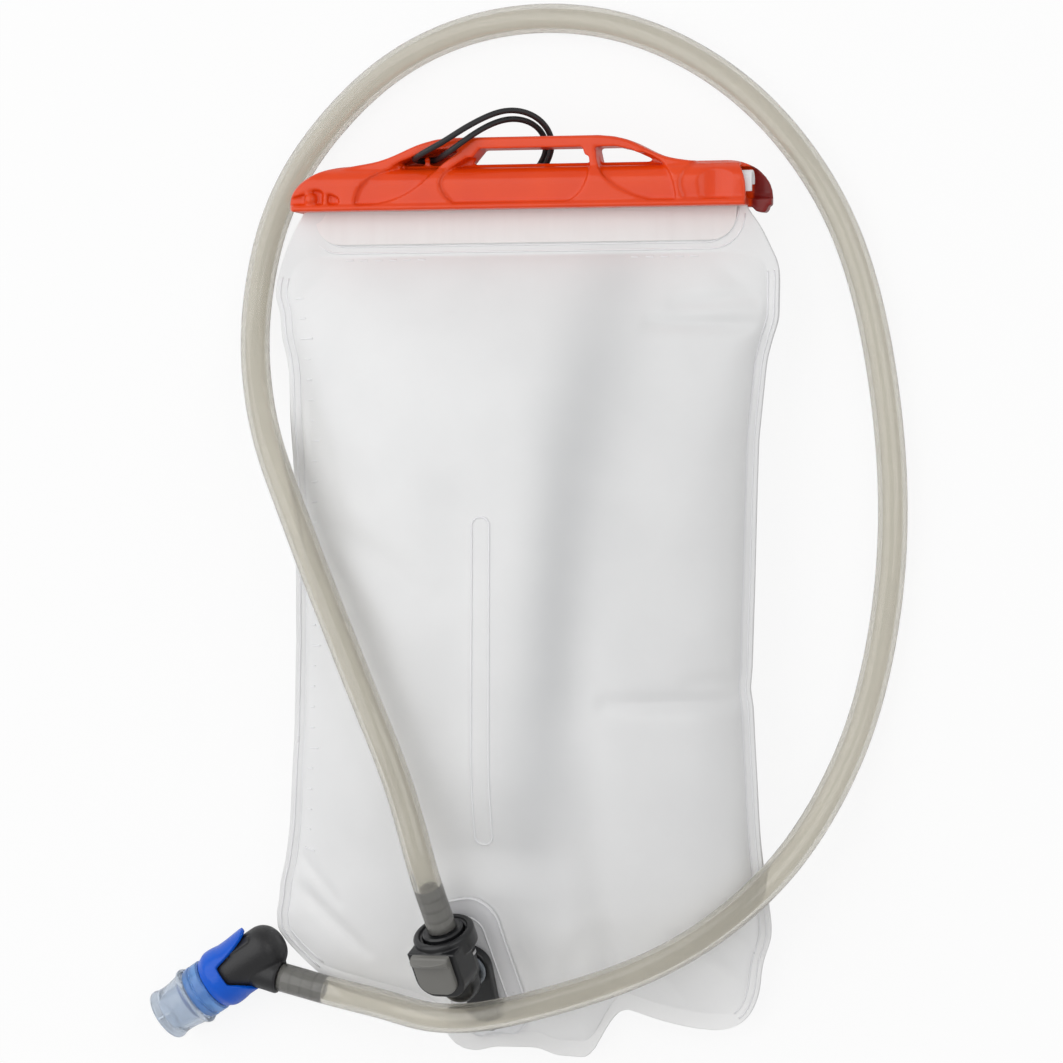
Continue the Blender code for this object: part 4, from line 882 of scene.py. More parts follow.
def make_baffle(film):
    """Web between the panels, and the bead round its weld on the front."""
    web, across, along = grid("baffle_film", 8, 40)
    y = BAFFLE_FOOT_Y + along * (BAFFLE_TOP_Y - BAFFLE_FOOT_Y)
    top = np.array([on_film(film, BAFFLE_X, value, -WEB_UNDER_FILM)[0].z for value in y])
    share = (across + 1) / 2
    bow = WEB_BOW * np.sin(pi * share) * np.sin(3 * pi * along)
    z = WEB_FOOT_Z + share * (top - WEB_FOOT_Z)
    place_points(web, np.stack([BAFFLE_X + bow, y, z], axis=1))
    apply_change(web, "SOLIDIFY", thickness=FILM, offset=0.0)
    shade_smooth(web, CREASE)
    dress_weld(web, "baffle_web")

    outline = rounded(
        (BAFFLE_X - WELD_HALF_WIDTH, BAFFLE_FOOT_Y),
        (BAFFLE_X + WELD_HALF_WIDTH, BAFFLE_TOP_Y),
        [WELD_HALF_WIDTH * 0.9] * 4,
    )
    ring = fine_outline(outline, 260)
    bead = bead_on(film, "baffle_weld_bead", ring, BAFFLE_BEAD_LIFT, BAFFLE_BEAD, closed=True)
    dress_weld(bead)


def fine_outline(outline, count):
    """Evenly spaced points round a closed outline."""
    loop = np.array([*outline, outline[0]])
    length = np.concatenate([[0.0], np.cumsum(np.linalg.norm(np.diff(loop, axis=0), axis=1))])
    even = np.linspace(0, length[-1], count, endpoint=False)
    return np.stack([np.interp(even, length, loop[:, axis]) for axis in range(2)], axis=1)


def make_edge_beads(film):
    """Raised lines of the side welds, two on each side, that follow the film round its lower corners."""
    parts = []
    rows = np.linspace(FOOT_Y + EDGE_BEAD_FOOT, EDGE_BEAD_TOP_Y, 190)
    for side in (-1, 1):
        for inset in EDGE_BEAD_INSETS:
            x, y, _, _ = film_plan(np.full_like(rows, side), rows)
            slope = np.gradient(np.stack([x, y], axis=1), axis=0)
            inward = np.stack([-slope[:, 1], slope[:, 0]], axis=1) / np.linalg.norm(slope, axis=1)[:, None]
            plan = np.stack([x, y], axis=1) + side * inset * inward
            parts.append(bead_on(film, "edge_bead", plan, EDGE_BEAD_LIFT, BEAD))
    dress_weld(gather("edge_weld_beads", parts))


def mark(length):
    """One raised bar of the scale, drawn along X."""
    half = length * MM / 2
    outline = rounded((-half, -MARK_WIDTH / 2), (half, MARK_WIDTH / 2), [MARK_WIDTH * 0.45] * 4, 3)
    return plate("mark", outline, -MARK_HEIGHT, MARK_HEIGHT, rounding=MARK_HEIGHT * 0.4, segments=2)


def make_marks(film):
    """Fill line and volume scale, plain dashes and ticks welded into the film."""
    places = []
    for start, end in DASH_RUNS:
        places += [(x, FILL_LINE_Y / MM, DASH) for x in np.arange(start, end, DASH_PITCH)]
    for k, y in enumerate(np.linspace(*TICK_Y, TICK_COUNT)):
        length = TICK if k % LONG_TICK_EVERY else LONG_TICK
        edge = edge_line(LEFT_EDGE, np.array([y * MM]))[0] / MM
        places.append((edge + TICK_INSET + length / 2, y, length))
    parts = []
    for x, y, length in places:
        spot, normal = on_film(film, x * MM, y * MM, 0.0)
        parts.append(put(mark(length), axes(spot, normal, normal.cross(Vector((1, 0, 0))))))
    marks = gather("scale_marks", parts)
    shade_smooth(marks, CREASE)
    dress_weld(marks)


def make_mouth():
    """Stiff strips on both panels, and the fold of film that the closure holds."""
    left, right = MOUTH_MIDDLE - MOUTH_HALF, MOUTH_MIDDLE + MOUTH_HALF
    stand = FILM_GAP + FILM + STRIP_STAND
    corners = (STRIP_CORNER, STRIP_CORNER, STRIP_SQUARE, STRIP_SQUARE)
    outline = rounded((left, STRIP_FOOT_Y), (right, FILM_TOP_Y), corners)
    front_z = MOUTH_Z + stand
    strips = (
        ("mouth_strip", front_z, "mouth_strip_front"),
        ("mouth_strip_rear", MOUTH_Z - stand - STRIP, "mouth_strip_back"),
    )
    for name, z, node in strips:
        strip = plate(name, outline, z, z + STRIP, rounding=STRIP_ROUNDING)
        shade_smooth(strip, CREASE)
        dress(strip, STRIP_FINISH, "strip", "reservoir", node)

    low = (left - STRIP_BORDER, STRIP_FOOT_Y - STRIP_BORDER)
    high = (right + STRIP_BORDER, BAR_FOOT_Y)
    corner = STRIP_CORNER + STRIP_BORDER
    ring = rounded(low, high, (corner, corner, STRIP_SQUARE, STRIP_SQUARE))
    ring = [point for point in ring if point[1] < BAR_FOOT_Y - STRIP_BEAD_END]
    beads = []
    for inset in STRIP_BEAD_INSETS:
        z = front_z - STRIP_BEAD_SINK
        run = [(x + (inset if x < MOUTH_MIDDLE else -inset), y + inset, z) for x, y in ring]
        beads.append(tube("strip_bead", run, BEAD, BEAD_SIDES))
    dress_weld(gather("mouth_weld_beads", beads))

    foot = FILM_TOP_Y + LIP_GAP
    centre = (foot + LIP, MOUTH_Z + LIP_BEND)
    over = foot - LIP_OVERHANG
    outer = arc(centre, (LIP_BEND + LIP / 2,) * 2, -90, 90, 14)
    inner = arc(centre, (LIP_BEND - LIP / 2,) * 2, 90, -90, 14)
    fold = [
        (foot, outer[0][1]),
        *outer,
        (over, outer[-1][1]),
        (over, inner[0][1]),
        *inner,
        (foot, inner[-1][1]),
    ]
    lip = plate("lip_fold", fold, left, right + LIP_TAIL, "YZ", rounding=0.3 * MM, segments=2)
    shade_smooth(lip, CREASE)
    dress_weld(lip, "folded_lip")


def make_tether_tab():
    low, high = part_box("tether_tab")
    outline = rounded(low.xy, high.xy, [3.6 * MM] * 4)
    tab = plate("tether_patch", outline, low.z, high.z, rounding=0.5 * MM)
    eye = rod("eye", 1.2 * MM, low.z - 1 * MM, high.z + 1 * MM)
    cut(tab, put(eye, Matrix.Translation(((low.x + high.x) / 2 + 1 * MM, low.y + 3 * MM, 0))))
    shade_smooth(tab, CREASE)
    dress_weld(tab, "tether_tab")


# Slide closure


def make_closure():
    """One moulding: a loaf-shaped bar, a rail on two posts over it, and panels let into its front."""
    bar = loaf("slide_bar", 0.0)
    left, right = in_mm([(-58.9, 137.0), (72.0, 137.5)])
    plan = [
        (BAR_LEFT, BAR_FOOT_Y - REACH),
        *arc(left, (left[0] - BAR_LEFT, BAR_TOP_Y - left[1]), 180, 90, 14),
        *arc(right, (BAR_RIGHT - right[0], BAR_TOP_Y - right[1]), 90, 0, 14),
        (BAR_RIGHT, BAR_FOOT_Y - REACH),
    ]
    ends = plate("ends", plan, BAR_BACK_Z - 0.1 * MM, BAR_FRONT_Z + 0.3 * MM, rounding=3.2 * MM, segments=6)
    cut(bar, ends, "INTERSECT")
    join(bar, make_handle())
    for k, outline in enumerate(panel_outlines()):
        tool = plate(f"panel_{k}", outline, MOUTH_Z, BAR_FRONT_Z + REACH)
        cut(tool, loaf("core", PANEL_DEPTH))
        cut(bar, tool)
    make_thumb_scoop(bar)
    lip_low = (BAR_LEFT + 1.2 * MM, BAR_FOOT_Y - 0.3 * MM, BAR_BACK_Z + 0.4 * MM)
    lip_high = (80.2 * MM, BAR_FOOT_Y + 1.6 * MM, BAR_FRONT_Z + 0.5 * MM)
    join(bar, block("foot_lip", lip_low, lip_high, rounding=0.6 * MM))
    make_nose_recess(bar)
    open_channel(bar)
    melt(bar, voxel=0.5 * MM, rounds=3, keep=0.7)
    dress(bar, ORANGE, "orange", "closure", "slide_closure")


def loaf(name, inset):
    """Bar of one section: flat front, rounded over to the top, from end to end."""
    front, back = BAR_FRONT_Z - inset, BAR_BACK_Z
    foot, top = BAR_FOOT_Y, BAR_TOP_Y - inset
    shoulder = 142.5 * MM
    section = [
        (foot, back + 0.8 * MM),
        (foot, front - 0.4 * MM),
        *arc((shoulder, 22.5 * MM), (top - shoulder, front - 22.5 * MM), 90, 0, 14),
        *arc((shoulder, 20.0 * MM), (top - shoulder, 20.0 * MM - back), 0, -90, 14),
    ]
    return plate(name, section, BAR_LEFT - REACH, BAR_RIGHT + REACH, "YZ")


def make_handle():
    """Rail that sweeps up from the bar at both ends, with its windows and posts."""
    left_sweep = [(-66, 148.6), (-58.5, 149.9), (-51, 151.2), (-43.5, 153.8), (-36.5, 156.7), (-30, 158.4)]
    right_sweep = [(33, 158.4), (38.5, 157.0), (45, 153.9), (50.5, 151.5), (56, 150.2), (64, 149.2)]
    flat = in_mm([(-25, 158.9), (28, 158.9)])
    foot = in_mm([(64, 143.0), (-66, 143.0)])
    outline = [*swept(left_sweep), *flat, *swept(right_sweep), *foot]
    handle = plate("rail", outline, HANDLE_BACK_Z, HANDLE_FRONT_Z, rounding=1.3 * MM)
    sill = BAR_TOP_Y - 1.2 * MM
    ledge = HANDLE_BACK_Z + 1.7 * MM
    left_arch = [(-20.6, 154.9), (-30.0, 154.9), (-37.0, 153.0), (-42.5, 151.0)]
    windows = (
        ("finger_window", -19.4, 24.4, [(22.2, 154.9), (-14.2, 154.9)], -REACH),
        ("right_window", 28.0, 50.0, [(45.0, 151.0), (39.5, 153.6), (34.0, 154.9), (26.6, 154.9)], -REACH),
        ("left_window", -47.0, -29.2, left_arch, ledge),
    )
    for name, start, end, arch, back in windows:
        window = [(start * MM, sill), (end * MM, sill), *in_mm(arch)]
        cut(handle, plate(name, window, back, 3 * REACH))
    peg = turned("peg", in_mm([(0, 0), (1.1, 0), (1.0, 4.4), (0.6, 5.0), (0, 5.1)]), 24)
    join(handle, put(peg, axes((*at_mm(-34.3, 147.6), MOUTH_Z), (0, 1, 0), (0, 0, -1))))
    return handle


def panel_outlines():
    """Fields let into the bar's front between the feet of the posts."""
    low = 136.0
    scallop = [(-58.6, low), (-58.0, 139.2), (-55.4, 143.6), (-50.5, 147.0), (-43.0, 149.4), (-36.0, 151.4)]
    left_foot = [(-27.0, 151.0), (-29.2, 148.2), (-33.4, 143.8), (-39.0, 139.8), (-45.0, 137.3), (-51.0, low)]
    left_post = [(-23.2, low), (-26.6, 139.2), (-28.0, 143.2), (-26.2, 147.0), (-22.6, 149.6), (-18.6, 152.0)]
    right_post = [(24.4, 152.0), (24.9, 147.0), (24.2, 143.2), (22.0, 139.2), (17.8, low)]
    right_foot = [(47.0, low), (40.0, 138.0), (34.0, 141.2), (30.0, 144.8), (27.8, 148.6), (27.0, 152.0)]
    right_arc = [(44.0, 152.6), (48.6, 150.4), (52.2, 147.2), (54.6, 142.8), (55.8, low)]
    fields = ((scallop, left_foot), (left_post, right_post), (right_foot, right_arc))
    return [swept(up) + swept(down) for up, down in fields]


def make_thumb_scoop(bar):
    """Hollow for the thumb by the open end, its left side a round edge."""
    hollow = 15.0 * MM
    roller = rod("roller", hollow, -REACH, REACH)
    centre = (*at_mm(69.5, 145.5), BAR_FRONT_Z + hollow - 2.0 * MM)
    put(roller, axes(centre, (0, 1, 0), (0, 0, 1)))
    edge = swept([(58.6, 136.2), (57.0, 140.0), (57.4, 144.4), (60.2, 148.4), (64.0, 152.0)], 20)
    field = [*edge, *in_mm([(90.0, 152.0), (90.0, 136.2)])]
    cut(roller, plate("scoop_field", field, 0.0, 4 * REACH), "INTERSECT")
    cut(bar, roller)
    shallow = plate("scoop_step", field, MOUTH_Z, 4 * REACH)
    cut(shallow, loaf("core", 0.6 * MM))
    cut(bar, shallow)


def make_nose_recess(bar):
    """Catch in the nose: a hollow under an arch, open at the left, with a pillar and a round stud."""
    floor = BAR_FRONT_Z - 1.9 * MM
    foot = in_mm([(-86.0, 136.2), (-64.6, 136.2), (-63.8, 137.2)])
    arch = [(-64.4, 138.6), (-66.6, 139.6), (-69.2, 140.4), (-72.6, 141.4), (-76.4, 140.2), (-86.0, 138.4)]
    hollow = [*foot, *swept(arch, 30)]
    cut(bar, plate("hollow", hollow, floor, BAR_FRONT_Z + REACH))
    low, high = in_mm([(-69.9, 135.6), (-68.3, 141.0)])
    join(bar, block("pillar", (*low, floor - 1 * MM), (*high, BAR_FRONT_Z - 0.5 * MM)))
    ball = turned("stud", arc((0, 0), at_mm(2.2, 2.2), -90, 90, 14), 28)
    join(bar, put(ball, Matrix.Translation((*at_mm(-74.4, 138.2), floor + 0.6 * MM))))


def open_channel(bar):
    """Chamber and slot for the folded lip, open at the right, where the front wall stops short."""
    half = (BAR_FRONT_Z - BAR_BACK_Z) / 2 - BAR_WALL
    left, right = -77.5 * MM, BAR_RIGHT + REACH
    low = (BAR_FOOT_Y + BAR_WALL, MOUTH_Z - half)
    high = (BAR_TOP_Y - BAR_WALL, MOUTH_Z + half)
    edge = swept([(74.6, 152.0), (77.2, 148.4), (79.3, 143.4), (79.9, 138.0), (80.2, 128.0)], 20)
    wall = [*edge, *in_mm([(110.0, 128.0), (110.0, 152.0)])]
    cut(bar, plate("front_wall", wall, MOUTH_Z + 0.3 * MM, 3 * REACH))
    chin = in_mm([(77.0, 137.0), (79.6, 134.4), (81.6, 132.2), (84.4, 131.8), (85.5, 132.8), (85.8, 138.0)])
    join(bar, plate("chin", chin, BAR_BACK_Z + 0.6 * MM, MOUTH_Z + 0.3 * MM, rounding=0.6 * MM))
    cut(bar, plate("chamber", rounded(low, high, [2.4 * MM] * 4), left, right, "YZ"))
    slot = 2.4 * MM
    slot_low = (left, BAR_FOOT_Y - REACH, MOUTH_Z - slot)
    slot_high = (right, BAR_FOOT_Y + 2 * BAR_WALL, MOUTH_Z + slot)
    cut(bar, block("slot", slot_low, slot_high))


# Outlet and coupling


def coupling_placement():
    """Frame with Z along the hose and Y to the button, its station 0 at the elbow."""
    axis = Vector(joints["plug_release"]["axis"]).normalized()
    button = -Vector(joints["button_press"]["axis"])
    points = np.unique(np.round(points_of(frame["nodes"]["plug"]), 6), axis=0)
    middle = Vector(points.mean(axis=0))
    nose = min((points - np.array(middle)) @ np.array(axis))
    return axes(middle + axis * (nose - PLUG_NOSE), axis, button)


def outlet_placement(coupling):
    """Frame on the film under the coupling, with Z away from the film and Y along the hose."""
    axis = coupling.to_3x3().col[2]
    button = coupling.to_3x3().col[1]
    turn = radians(COUPLING_TURN)
    normal = button * cos(turn) + axis.cross(button) * sin(turn)
    return axes(coupling.translation - normal * AXIS_HEIGHT, normal, axis)


def make_flange(film, outlet):
    """Welded patch under the coupling, with a raised contour."""
    patch, across, along = grid("outlet_patch", 40, 46)
    along = 2 * along - 1
    half_width, half_length, corner = at_mm(13.3, 25.0, 10.0)
    lead = outlet.to_3x3().col[1].xy.normalized()
    aside = Vector((lead.y, -lead.x))
    centre = outlet.translation.xy - lead * 3.0 * MM

    def spot(x, y, lift):
        place = centre + aside * x + lead * y
        return on_film(film, place.x, place.y, lift)[0]

    across, along = np.sin(pi / 2 * across), np.sin(pi / 2 * along)
    over = np.maximum(np.abs(along) * half_length - half_length + corner, 0)
    x = across * (half_width - corner + np.sqrt(np.maximum(corner**2 - over**2, 0)))
    y = along * half_length
    place_points(patch, [tuple(spot(a, b, 0.5 * MM)) for a, b in zip(x, y)])
    apply_change(patch, "SOLIDIFY", thickness=0.9 * MM, offset=1.0)
    shade_smooth(patch, PATCH_CREASE)
    dress_weld(patch, "outlet_flange")
    beads = []
    for inset in PATCH_BEAD_INSETS:
        low, high = (inset - half_width, inset - half_length), (half_width - inset, half_length - inset)
        ring = fine_outline(rounded(low, high, [corner - inset * 0.6] * 4), 120)
        run = [spot(*point, PATCH_BEAD_LIFT) for point in ring]
        beads.append(tube("patch_bead", run, PATCH_BEAD, BEAD_SIDES, closed=True))
    dress_weld(gather("outlet_patch_beads", beads))


def shield(half, foot, top, corner):
    """Outline of button or boss in the coupling's ZX plane, from sizes in mm: round foot, square top."""
    square = 0.4
    return rounded(at_mm(foot, -half), at_mm(top, half), at_mm(corner, square, square, corner))


def make_socket(coupling, outlet):
    """Black socket: collar, body, canted boss, riser and base, hollowed for the plug and poppet."""
    cant = Matrix.Rotation(radians(BUTTON_CANT), 4, "Z")
    profile = [
        (0, -7.5 * MM),
        *arc(at_mm(0, -0.5), at_mm(7.0, 7.0), -80, 0, 8),
        *in_mm([(7.0, 1.6), (8.0, 3.2), (8.4, 12.6), (10.8, 15.0), (10.8, 20.4), (10.0, 21.2), (0, 21.2)]),
    ]
    socket = turned("socket_body", profile)
    boss = plate("boss", shield(9.5, 1.0, 18.7, 6.6), 0.0, 11.2 * MM, "ZX", rounding=0.5 * MM)
    join(socket, put(boss, cant))
    join(socket, block("latch_housing", (0.0, 0.0, 8.9 * MM), at_mm(8.5, 11.0, 12.7), 0.6 * MM))
    put(socket, coupling)
    tail = arc(at_mm(0, -22), at_mm(5, 5), 200, 340, 10)
    base = arc((0, 0), at_mm(7.5, 7.5), -10, 190, 20) + tail
    join(socket, put(plate("base", base, *at_mm(1.6, 5.5), rounding=0.6 * MM), outlet))
    join(socket, put(rod("riser", 5.6 * MM, 2.6 * MM, AXIS_HEIGHT), outlet))
    bore = in_mm([
        (0, -4.9), (4.6, -4.9), (4.6, 7.6), (3.0, 7.6), (3.0, 9.0), (6.3, 9.0), (6.3, 19.2), (7.5, 19.2),
        (7.5, 20.2), (8.6, 20.2), (8.6, 21.8), (0, 21.8),
    ])
    cut(socket, put(turned("bore", bore, 72), coupling))
    pocket = plate("pocket", shield(8.4, 2.3, 18.7, 5.6), 7.9 * MM, 13.0 * MM, "ZX")
    cut(socket, put(pocket, coupling @ cant))
    slot = block("latch_slot", at_mm(-7.6, -9.9, 9.9), at_mm(7.6, 10.2, 11.7))
    cut(socket, put(slot, coupling))
    cut(socket, put(rod("riser_bore", 3.4 * MM, -2 * MM, AXIS_HEIGHT), outlet))
    melt(socket, voxel=0.35 * MM, rounds=3, keep=0.6)
    dress(socket, BLACK, "black", "reservoir", "outlet_socket")
    ring = turned("spigot_ring", arc(at_mm(5.8, 6.6), at_mm(0.9, 1.1), 0, 345, 23), 64)
    put(ring, outlet)
    shade_smooth(ring)
    dress(ring, SILICONE, "clear_silicone", "reservoir")


def make_button(coupling):
    """Grey release button, its face canted to the thumb: a shield with a bowed ledge at its top."""
    half = 7.4
    button = plate("button_face", shield(half, 3.3, 18.3, 5.1), *at_mm(10.2, 13.1), "ZX", rounding=0.6 * MM)
    side = in_mm([
        (10.2, 14.0), (12.9, 14.0), (13.2, 14.8), (13.9, 15.4), (15.2, 15.9), (15.8, 16.4), (15.6, 17.0),
        (11.6, 18.4), (10.2, 18.4),
    ])
    ledge = plate("ledge", side, *at_mm(-half, half), "YZ", rounding=0.4 * MM)
    bow = arc(at_mm(0, -0.4), at_mm(16.1, 16.1), 120, 60, 16)
    cut(ledge, plate("bow", [(-9 * MM, 0.0), *bow, (9 * MM, 0.0)], 0.0, 2 * REACH), "INTERSECT")
    join(button, ledge)
    put(button, Matrix.Rotation(radians(BUTTON_CANT), 4, "Z"))
    cut(button, block("spring_well", at_mm(-3.3, 6.0, 3.0), at_mm(3.3, 12.2, 9.6)))
    melt(button, voxel=0.22 * MM, rounds=4, keep=0.5)
    put(button, coupling)
    dress(button, GREY, "grey", "button", "release_button")


def barb(start):
    """Ringed barb from its root to its tip."""
    pitch = BARB_LENGTH / BARB_RINGS
    valley = BARB_PEAK - BARB_STEP
    points = []
    for k in range(BARB_RINGS):
        root = start + k * pitch
        points += [(valley, root), (BARB_PEAK, root + 0.15 * pitch)]
        points += [(BARB_PEAK, root + 0.4 * pitch), (valley, root + pitch)]
    return points


def make_plug(coupling):
    stop = 21.9 * MM
    profile = [
        (BARB_BORE, PLUG_NOSE),
        (5.6 * MM, PLUG_NOSE),
        (6.0 * MM, PLUG_NOSE + 0.4 * MM),
        *in_mm([(6.0, 14.5), (4.1, 14.5), (4.1, 16.7), (6.0, 16.7), (6.0, 19.5), (7.2, 19.5), (7.2, 21.3)]),
        (6.6 * MM, stop),
        (BARB_BORE, stop),
    ]
    plug = put(turned("hose_plug", profile, 64), coupling)
    shade_smooth(plug, TURNED_CREASE)
    dress(plug, BLACK, "black", "plug", "plug")
    end = stop + BARB_LENGTH
    profile = [(BARB_BORE, stop), *barb(stop), (2.2 * MM, end + 0.4 * MM), (BARB_BORE, end)]
    tail = put(turned("plug_barb", profile, 64), coupling)
    shade_smooth(tail, TURNED_CREASE)
    dress(tail, SMOKE, "smoke", "plug")


# Hose and tether


def make_hose(coupling, branch):
    """Clear hose over both barbs."""
    start = coupling @ Vector((0, 0, HOSE_STATION))
    start_axis = coupling.to_3x3().col[2]
    end = branch @ Vector((0, 0, BRANCH_LENGTH + 0.3 * MM))
    end_axis = branch.to_3x3().col[2]
    lead = [start, start + start_axis * HOSE_LEAD / 2, start + start_axis * HOSE_LEAD]
    tail = [end + end_axis * HOSE_LEAD, end + end_axis * HOSE_LEAD / 2, end]
    route = [*lead, *(Vector(point) * MM for point in HOSE_ROUTE), *tail]
    points = through(route, 360)
    hose = tube("hose", points, HOSE_DIAMETER / 2, sides=10, caps=False)
    apply_change(hose, "SOLIDIFY", thickness=(HOSE_DIAMETER - HOSE_BORE) / 2, offset=-1.0)
    hose.data.materials.append(HOSE_FINISH)
    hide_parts("drinking_hose")
    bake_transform(hose)
    follow_by_length(hose, points, *HOSE_FOLLOWS_PLUG)


def follow_by_length(cord, points, start, end):
    """Goes through the cord's points, and changes nothing."""
    for place in points_of(cord):
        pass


def make_tether():
    """Thin elastic loop from the tab on the back, round the closure's peg and back again."""
    route = in_mm([TETHER_ENDS[0], *TETHER_ROUTE, TETHER_ENDS[1]])
    points = through(route, 320)
    tether = tube("tether_loop", points, TETHER_DIAMETER / 2, sides=3)
    tether.data.materials.append(RUBBER)
    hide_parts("tether")
    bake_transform(tether)


# Bite valve


def valve_placements():
    """Frame with Z to the bite cap and Y to the wing, and the frame with Z down the hose's branch."""
    centre = Vector(joints["valve_twist"]["pos_m"])
    axis = -Vector(joints["valve_twist"]["axis"])
    wing = -Vector((0, 0, 1)).cross(axis).normalized()
    bend = radians(BRANCH_ANGLE)
    branch = -wing * sin(bend) - axis * cos(bend)
    return axes(centre, axis, wing), axes(centre, branch, wing)


def make_elbow(valve, branch):
    """Black elbow: a domed body with a raised rib, and a branch with a barb in the hose."""
    body = [
        (0, -18 * MM),
        *arc(at_mm(2.0, -11.5), at_mm(6.5, 6.5), -90, 0, 12),
        *in_mm([(8.5, 6), (0, 6)]),
    ]
    elbow = put(turned("elbow_body", body), valve)
    stem = in_mm([(0, 0), (6.4, 0), (6.0, 10), (6.2, 15.0)])
    stem += [(5.8 * MM, BRANCH_LENGTH), (0, BRANCH_LENGTH)]
    join(elbow, put(turned("stem", stem, 64), branch))
    rib = plate("rib", rounded(at_mm(-1.7, -10.5), at_mm(1.7, 5.4), [1.2 * MM] * 4), *at_mm(7.0, 9.0))
    cut(rib, block("slot", at_mm(-3, -1.4, 8.3), at_mm(3, -0.3, 12)))
    upright = Matrix(((0, 0, 1), (1, 0, 0), (0, 1, 0))).to_4x4()
    stand = Matrix.Rotation(radians(RIB_ANGLE), 4, "Z") @ upright
    join(elbow, put(rib, valve @ stand))
    cut(elbow, put(rod("bore", 6.6 * MM, -6 * MM, 6.4 * MM), valve))
    melt(elbow, voxel=0.35 * MM, rounds=5, keep=0.6)
    dress(elbow, GRAINED, "black", "reservoir", "valve_elbow")

    start = BRANCH_LENGTH - 2 * MM
    end = BRANCH_LENGTH + BARB_LENGTH
    profile = [(BARB_BORE, start), (2.6 * MM, start), *barb(BRANCH_LENGTH), (BARB_BORE, end)]
    tail = put(turned("elbow_barb", profile, 64), branch)
    shade_smooth(tail, TURNED_CREASE)
    dress(tail, SMOKE, "black", "reservoir")
    return [elbow, tail]


def away(angle, middle, spread):
    """How far an angle lies from a middle, as a share of a spread, both in degrees."""
    return np.abs(np.angle(np.exp(1j * (angle - radians(middle))))) / radians(spread)


def make_twist_collar(valve):
    """Blue collar whose rear rim runs out to a leaf-shaped wing on one side and a short lip on the other."""
    collar, across, along = grid("collar", 160, 36)
    angle = pi * across
    wing = away(angle, WING_ANGLE, WING_SPREAD)
    lip = away(angle, LIP_ANGLE, LIP_SPREAD)
    leaf = np.clip(1 - np.minimum(wing, 1) ** 2.4, 0, 1)
    rim = 4.6 * MM - 14.2 * MM * leaf - 6.0 * MM * np.clip(1 - lip**2, 0, 1)
    front = 12 * MM
    station = front + (rim - front) * along
    swell_out = 0.5 * MM * np.sin(pi * np.clip((front - station) / (9 * MM), 0, 1))
    radius = 10.3 * MM + swell_out - 0.9 * MM * ease((station - 8.5 * MM) / (3.5 * MM))
    radius = radius + 0.7 * MM * leaf * ease((2 * MM - station) / (12 * MM))
    place_points(collar, np.stack([radius * np.cos(angle), radius * np.sin(angle), station], axis=1))
    face_outwards(collar, weld=True)
    apply_change(collar, "SOLIDIFY", thickness=1.5 * MM, offset=-1.0)
    join(collar, turned("web", in_mm([(6.9, 6.4), (9.6, 6.4), (9.6, 11.9), (6.9, 11.9)]), 64))
    melt(collar, voxel=0.3 * MM, rounds=4, keep=0.6)
    put(collar, valve)
    return dress(collar, BLUE, "blue", "valve_head", "twist_collar")


def make_core(valve):
    """Clear blue core: spool in the elbow, barrel and nipple under the bite cap."""
    profile = in_mm([
        (3.6, -4.0), (6.2, -4.0), (6.3, -3.8), (6.3, 0.2), (4.8, 0.2), (4.8, 2.0), (6.3, 2.0),
        (6.3, 12.3), (9.2, 12.3), (9.8, 12.9), (9.8, 15.6), (9.4, 16.0), (9.4, 16.4), (9.8, 16.8),
        (9.8, 18.4), (9.4, 19.0), (6.6, 19.0), (6.6, 21.6), (6.2, 22.0), (3.6, 22.0),
    ])
    core = turned("core", profile)
    shade_smooth(core, TURNED_CREASE)
    put(core, valve)
    return dress(core, CLEAR_BLUE, "clear_blue", "valve_head", "valve_core")


def make_bite_cap(valve):
    """Clear soft cap: a bead at its base, a waist, a flared tip and a slit to drink through."""
    outside = swept([
        (10.2, 19.4), (10.7, 20.0), (10.6, 20.9), (9.9, 21.6), (9.5, 23.0), (9.0, 26.0), (8.8, 29.0),
        (9.1, 31.5), (9.4, 32.8), (9.1, 33.8), (7.6, 34.4), (4.0, 34.6), (0.0, 34.6),
    ], 60)
    inside = in_mm([(0.0, 32.6), (5.4, 32.6), (6.4, 31.8), (6.9, 29.0), (6.9, 19.4)])
    cap = turned("cap", [*outside, *inside])
    cut(cap, block("slit", at_mm(-4.5, -0.3, 32.0), at_mm(4.5, 0.3, 36.0)))
    shade_smooth(cap, CREASE)
    put(cap, valve)
    return dress(cap, SILICONE, "clear_silicone", "valve_head", "bite_cap")


# Stage, light and camera


def seen_directly(nodes, links):
    """One where a ray comes from the camera or through a clear surface."""
    path = nodes.new("ShaderNodeLightPath")
    either = nodes.new("ShaderNodeMath")
    either.operation = "MAXIMUM"
    links.new(path.outputs["Is Camera Ray"], either.inputs[0])
    links.new(path.outputs["Is Transmission Ray"], either.inputs[1])
    return either.outputs[0]


def make_floor():
    """Pale floor that looks white and still takes the object's shadow."""
    deselect()
    bpy.ops.mesh.primitive_plane_add(size=FLOOR_SIZE)
    floor = new_piece("floor")
    finish = Finish("pale floor", (0.85, 0.85, 0.85), 0.9)
    seen = Wire(finish, seen_directly(finish.nodes, finish.links))
    bare = Wire(finish, finish.shader.outputs[0])
    white = finish.node("ShaderNodeEmission", {}, {"Color": (1, 1, 1, 1), "Strength": 1.0})
    mix = finish.node("ShaderNodeMixShader", {}, {0: seen * FLOOR_WHITENESS, 1: bare, 2: white})
    finish.links.new(mix.socket, finish.nodes["Material Output"].inputs["Surface"])
    floor.data.materials.append(finish.material)


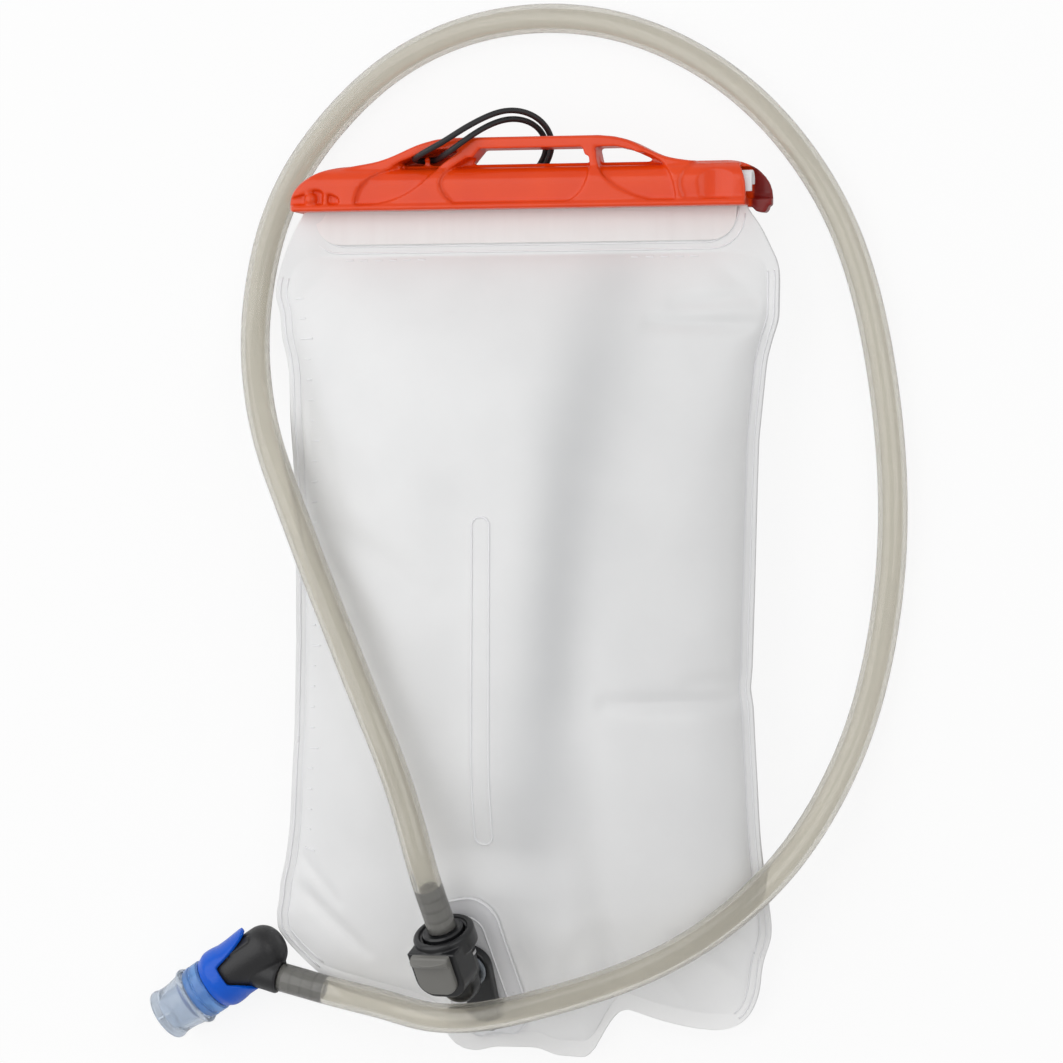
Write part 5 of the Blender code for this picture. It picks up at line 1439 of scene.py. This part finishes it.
def make_world():
    world = bpy.data.worlds.new("studio")
    bpy.context.scene.world = world
    world.use_nodes = True
    nodes, links = world.node_tree.nodes, world.node_tree.links
    backdrop = nodes["Background"]
    backdrop.inputs["Color"].default_value = (1, 1, 1, 1)
    level = nodes.new("ShaderNodeMapRange")
    links.new(seen_directly(nodes, links), level.inputs["Value"])
    level.inputs["To Min"].default_value = WORLD_LIGHT
    level.inputs["To Max"].default_value = 1.0
    links.new(level.outputs[0], backdrop.inputs["Strength"])


def add_lamp(name, place, size, power):
    """Square of light that faces the origin."""
    lamp = bpy.data.lights.new(name, "AREA")
    lamp.shape = "RECTANGLE"
    lamp.size, lamp.size_y = size
    lamp.energy = power
    holder = bpy.data.objects.new(name, lamp)
    holder.location = place
    holder.rotation_euler = (-Vector(place)).to_track_quat("-Z", "Y").to_euler()
    bpy.context.scene.collection.objects.link(holder)


def make_camera():
    side = radians(CAMERA_SIDE)
    direction = Vector((sin(side), 0, cos(side)))
    right = Vector((0, 1, 0)).cross(direction)
    lens = bpy.data.cameras.new("camera")
    lens.lens = CAMERA_LENS
    camera = bpy.data.objects.new("camera", lens)
    turn = Matrix((right, (0, 1, 0), direction)).transposed().to_4x4()
    camera.matrix_world = Matrix.Translation(Vector(CAMERA_TARGET) + direction * CAMERA_DISTANCE) @ turn
    bpy.context.scene.collection.objects.link(camera)
    bpy.context.scene.camera = camera


# Assembly

make_camera()
front_film = make_front_film()
make_back_film()
make_baffle(front_film)
make_edge_beads(front_film)
make_marks(front_film)
make_mouth()
make_tether_tab()
make_closure()

coupling_frame = coupling_placement()
outlet_frame = outlet_placement(coupling_frame)
make_flange(front_film, outlet_frame)
make_socket(coupling_frame, outlet_frame)
make_button(coupling_frame)
make_plug(coupling_frame)

valve_frame, branch_frame = valve_placements()
valve_pieces = make_elbow(valve_frame, branch_frame)
valve_pieces += [make_twist_collar(valve_frame), make_core(valve_frame), make_bite_cap(valve_frame)]
valve_pieces.append(frame["nodes"]["core_o_ring"])
make_hose(coupling_frame, branch_frame)
make_tether()

INNER_FINISHES = {
    "latch_plate": STEEL,
    "latch_spring": STEEL,
    "poppet_spring": STEEL,
    "poppet": WHITE,
    "plug_o_ring": RUBBER,
    "core_o_ring": RUBBER,
}
for node, finish in INNER_FINISHES.items():
    inner = frame["nodes"][node]
    inner.data.materials.clear()
    inner.data.materials.append(finish)

make_floor()
make_world()
for lamp in LAMPS:
    add_lamp(*lamp)
bpy.context.scene.view_settings.view_transform = "Standard"
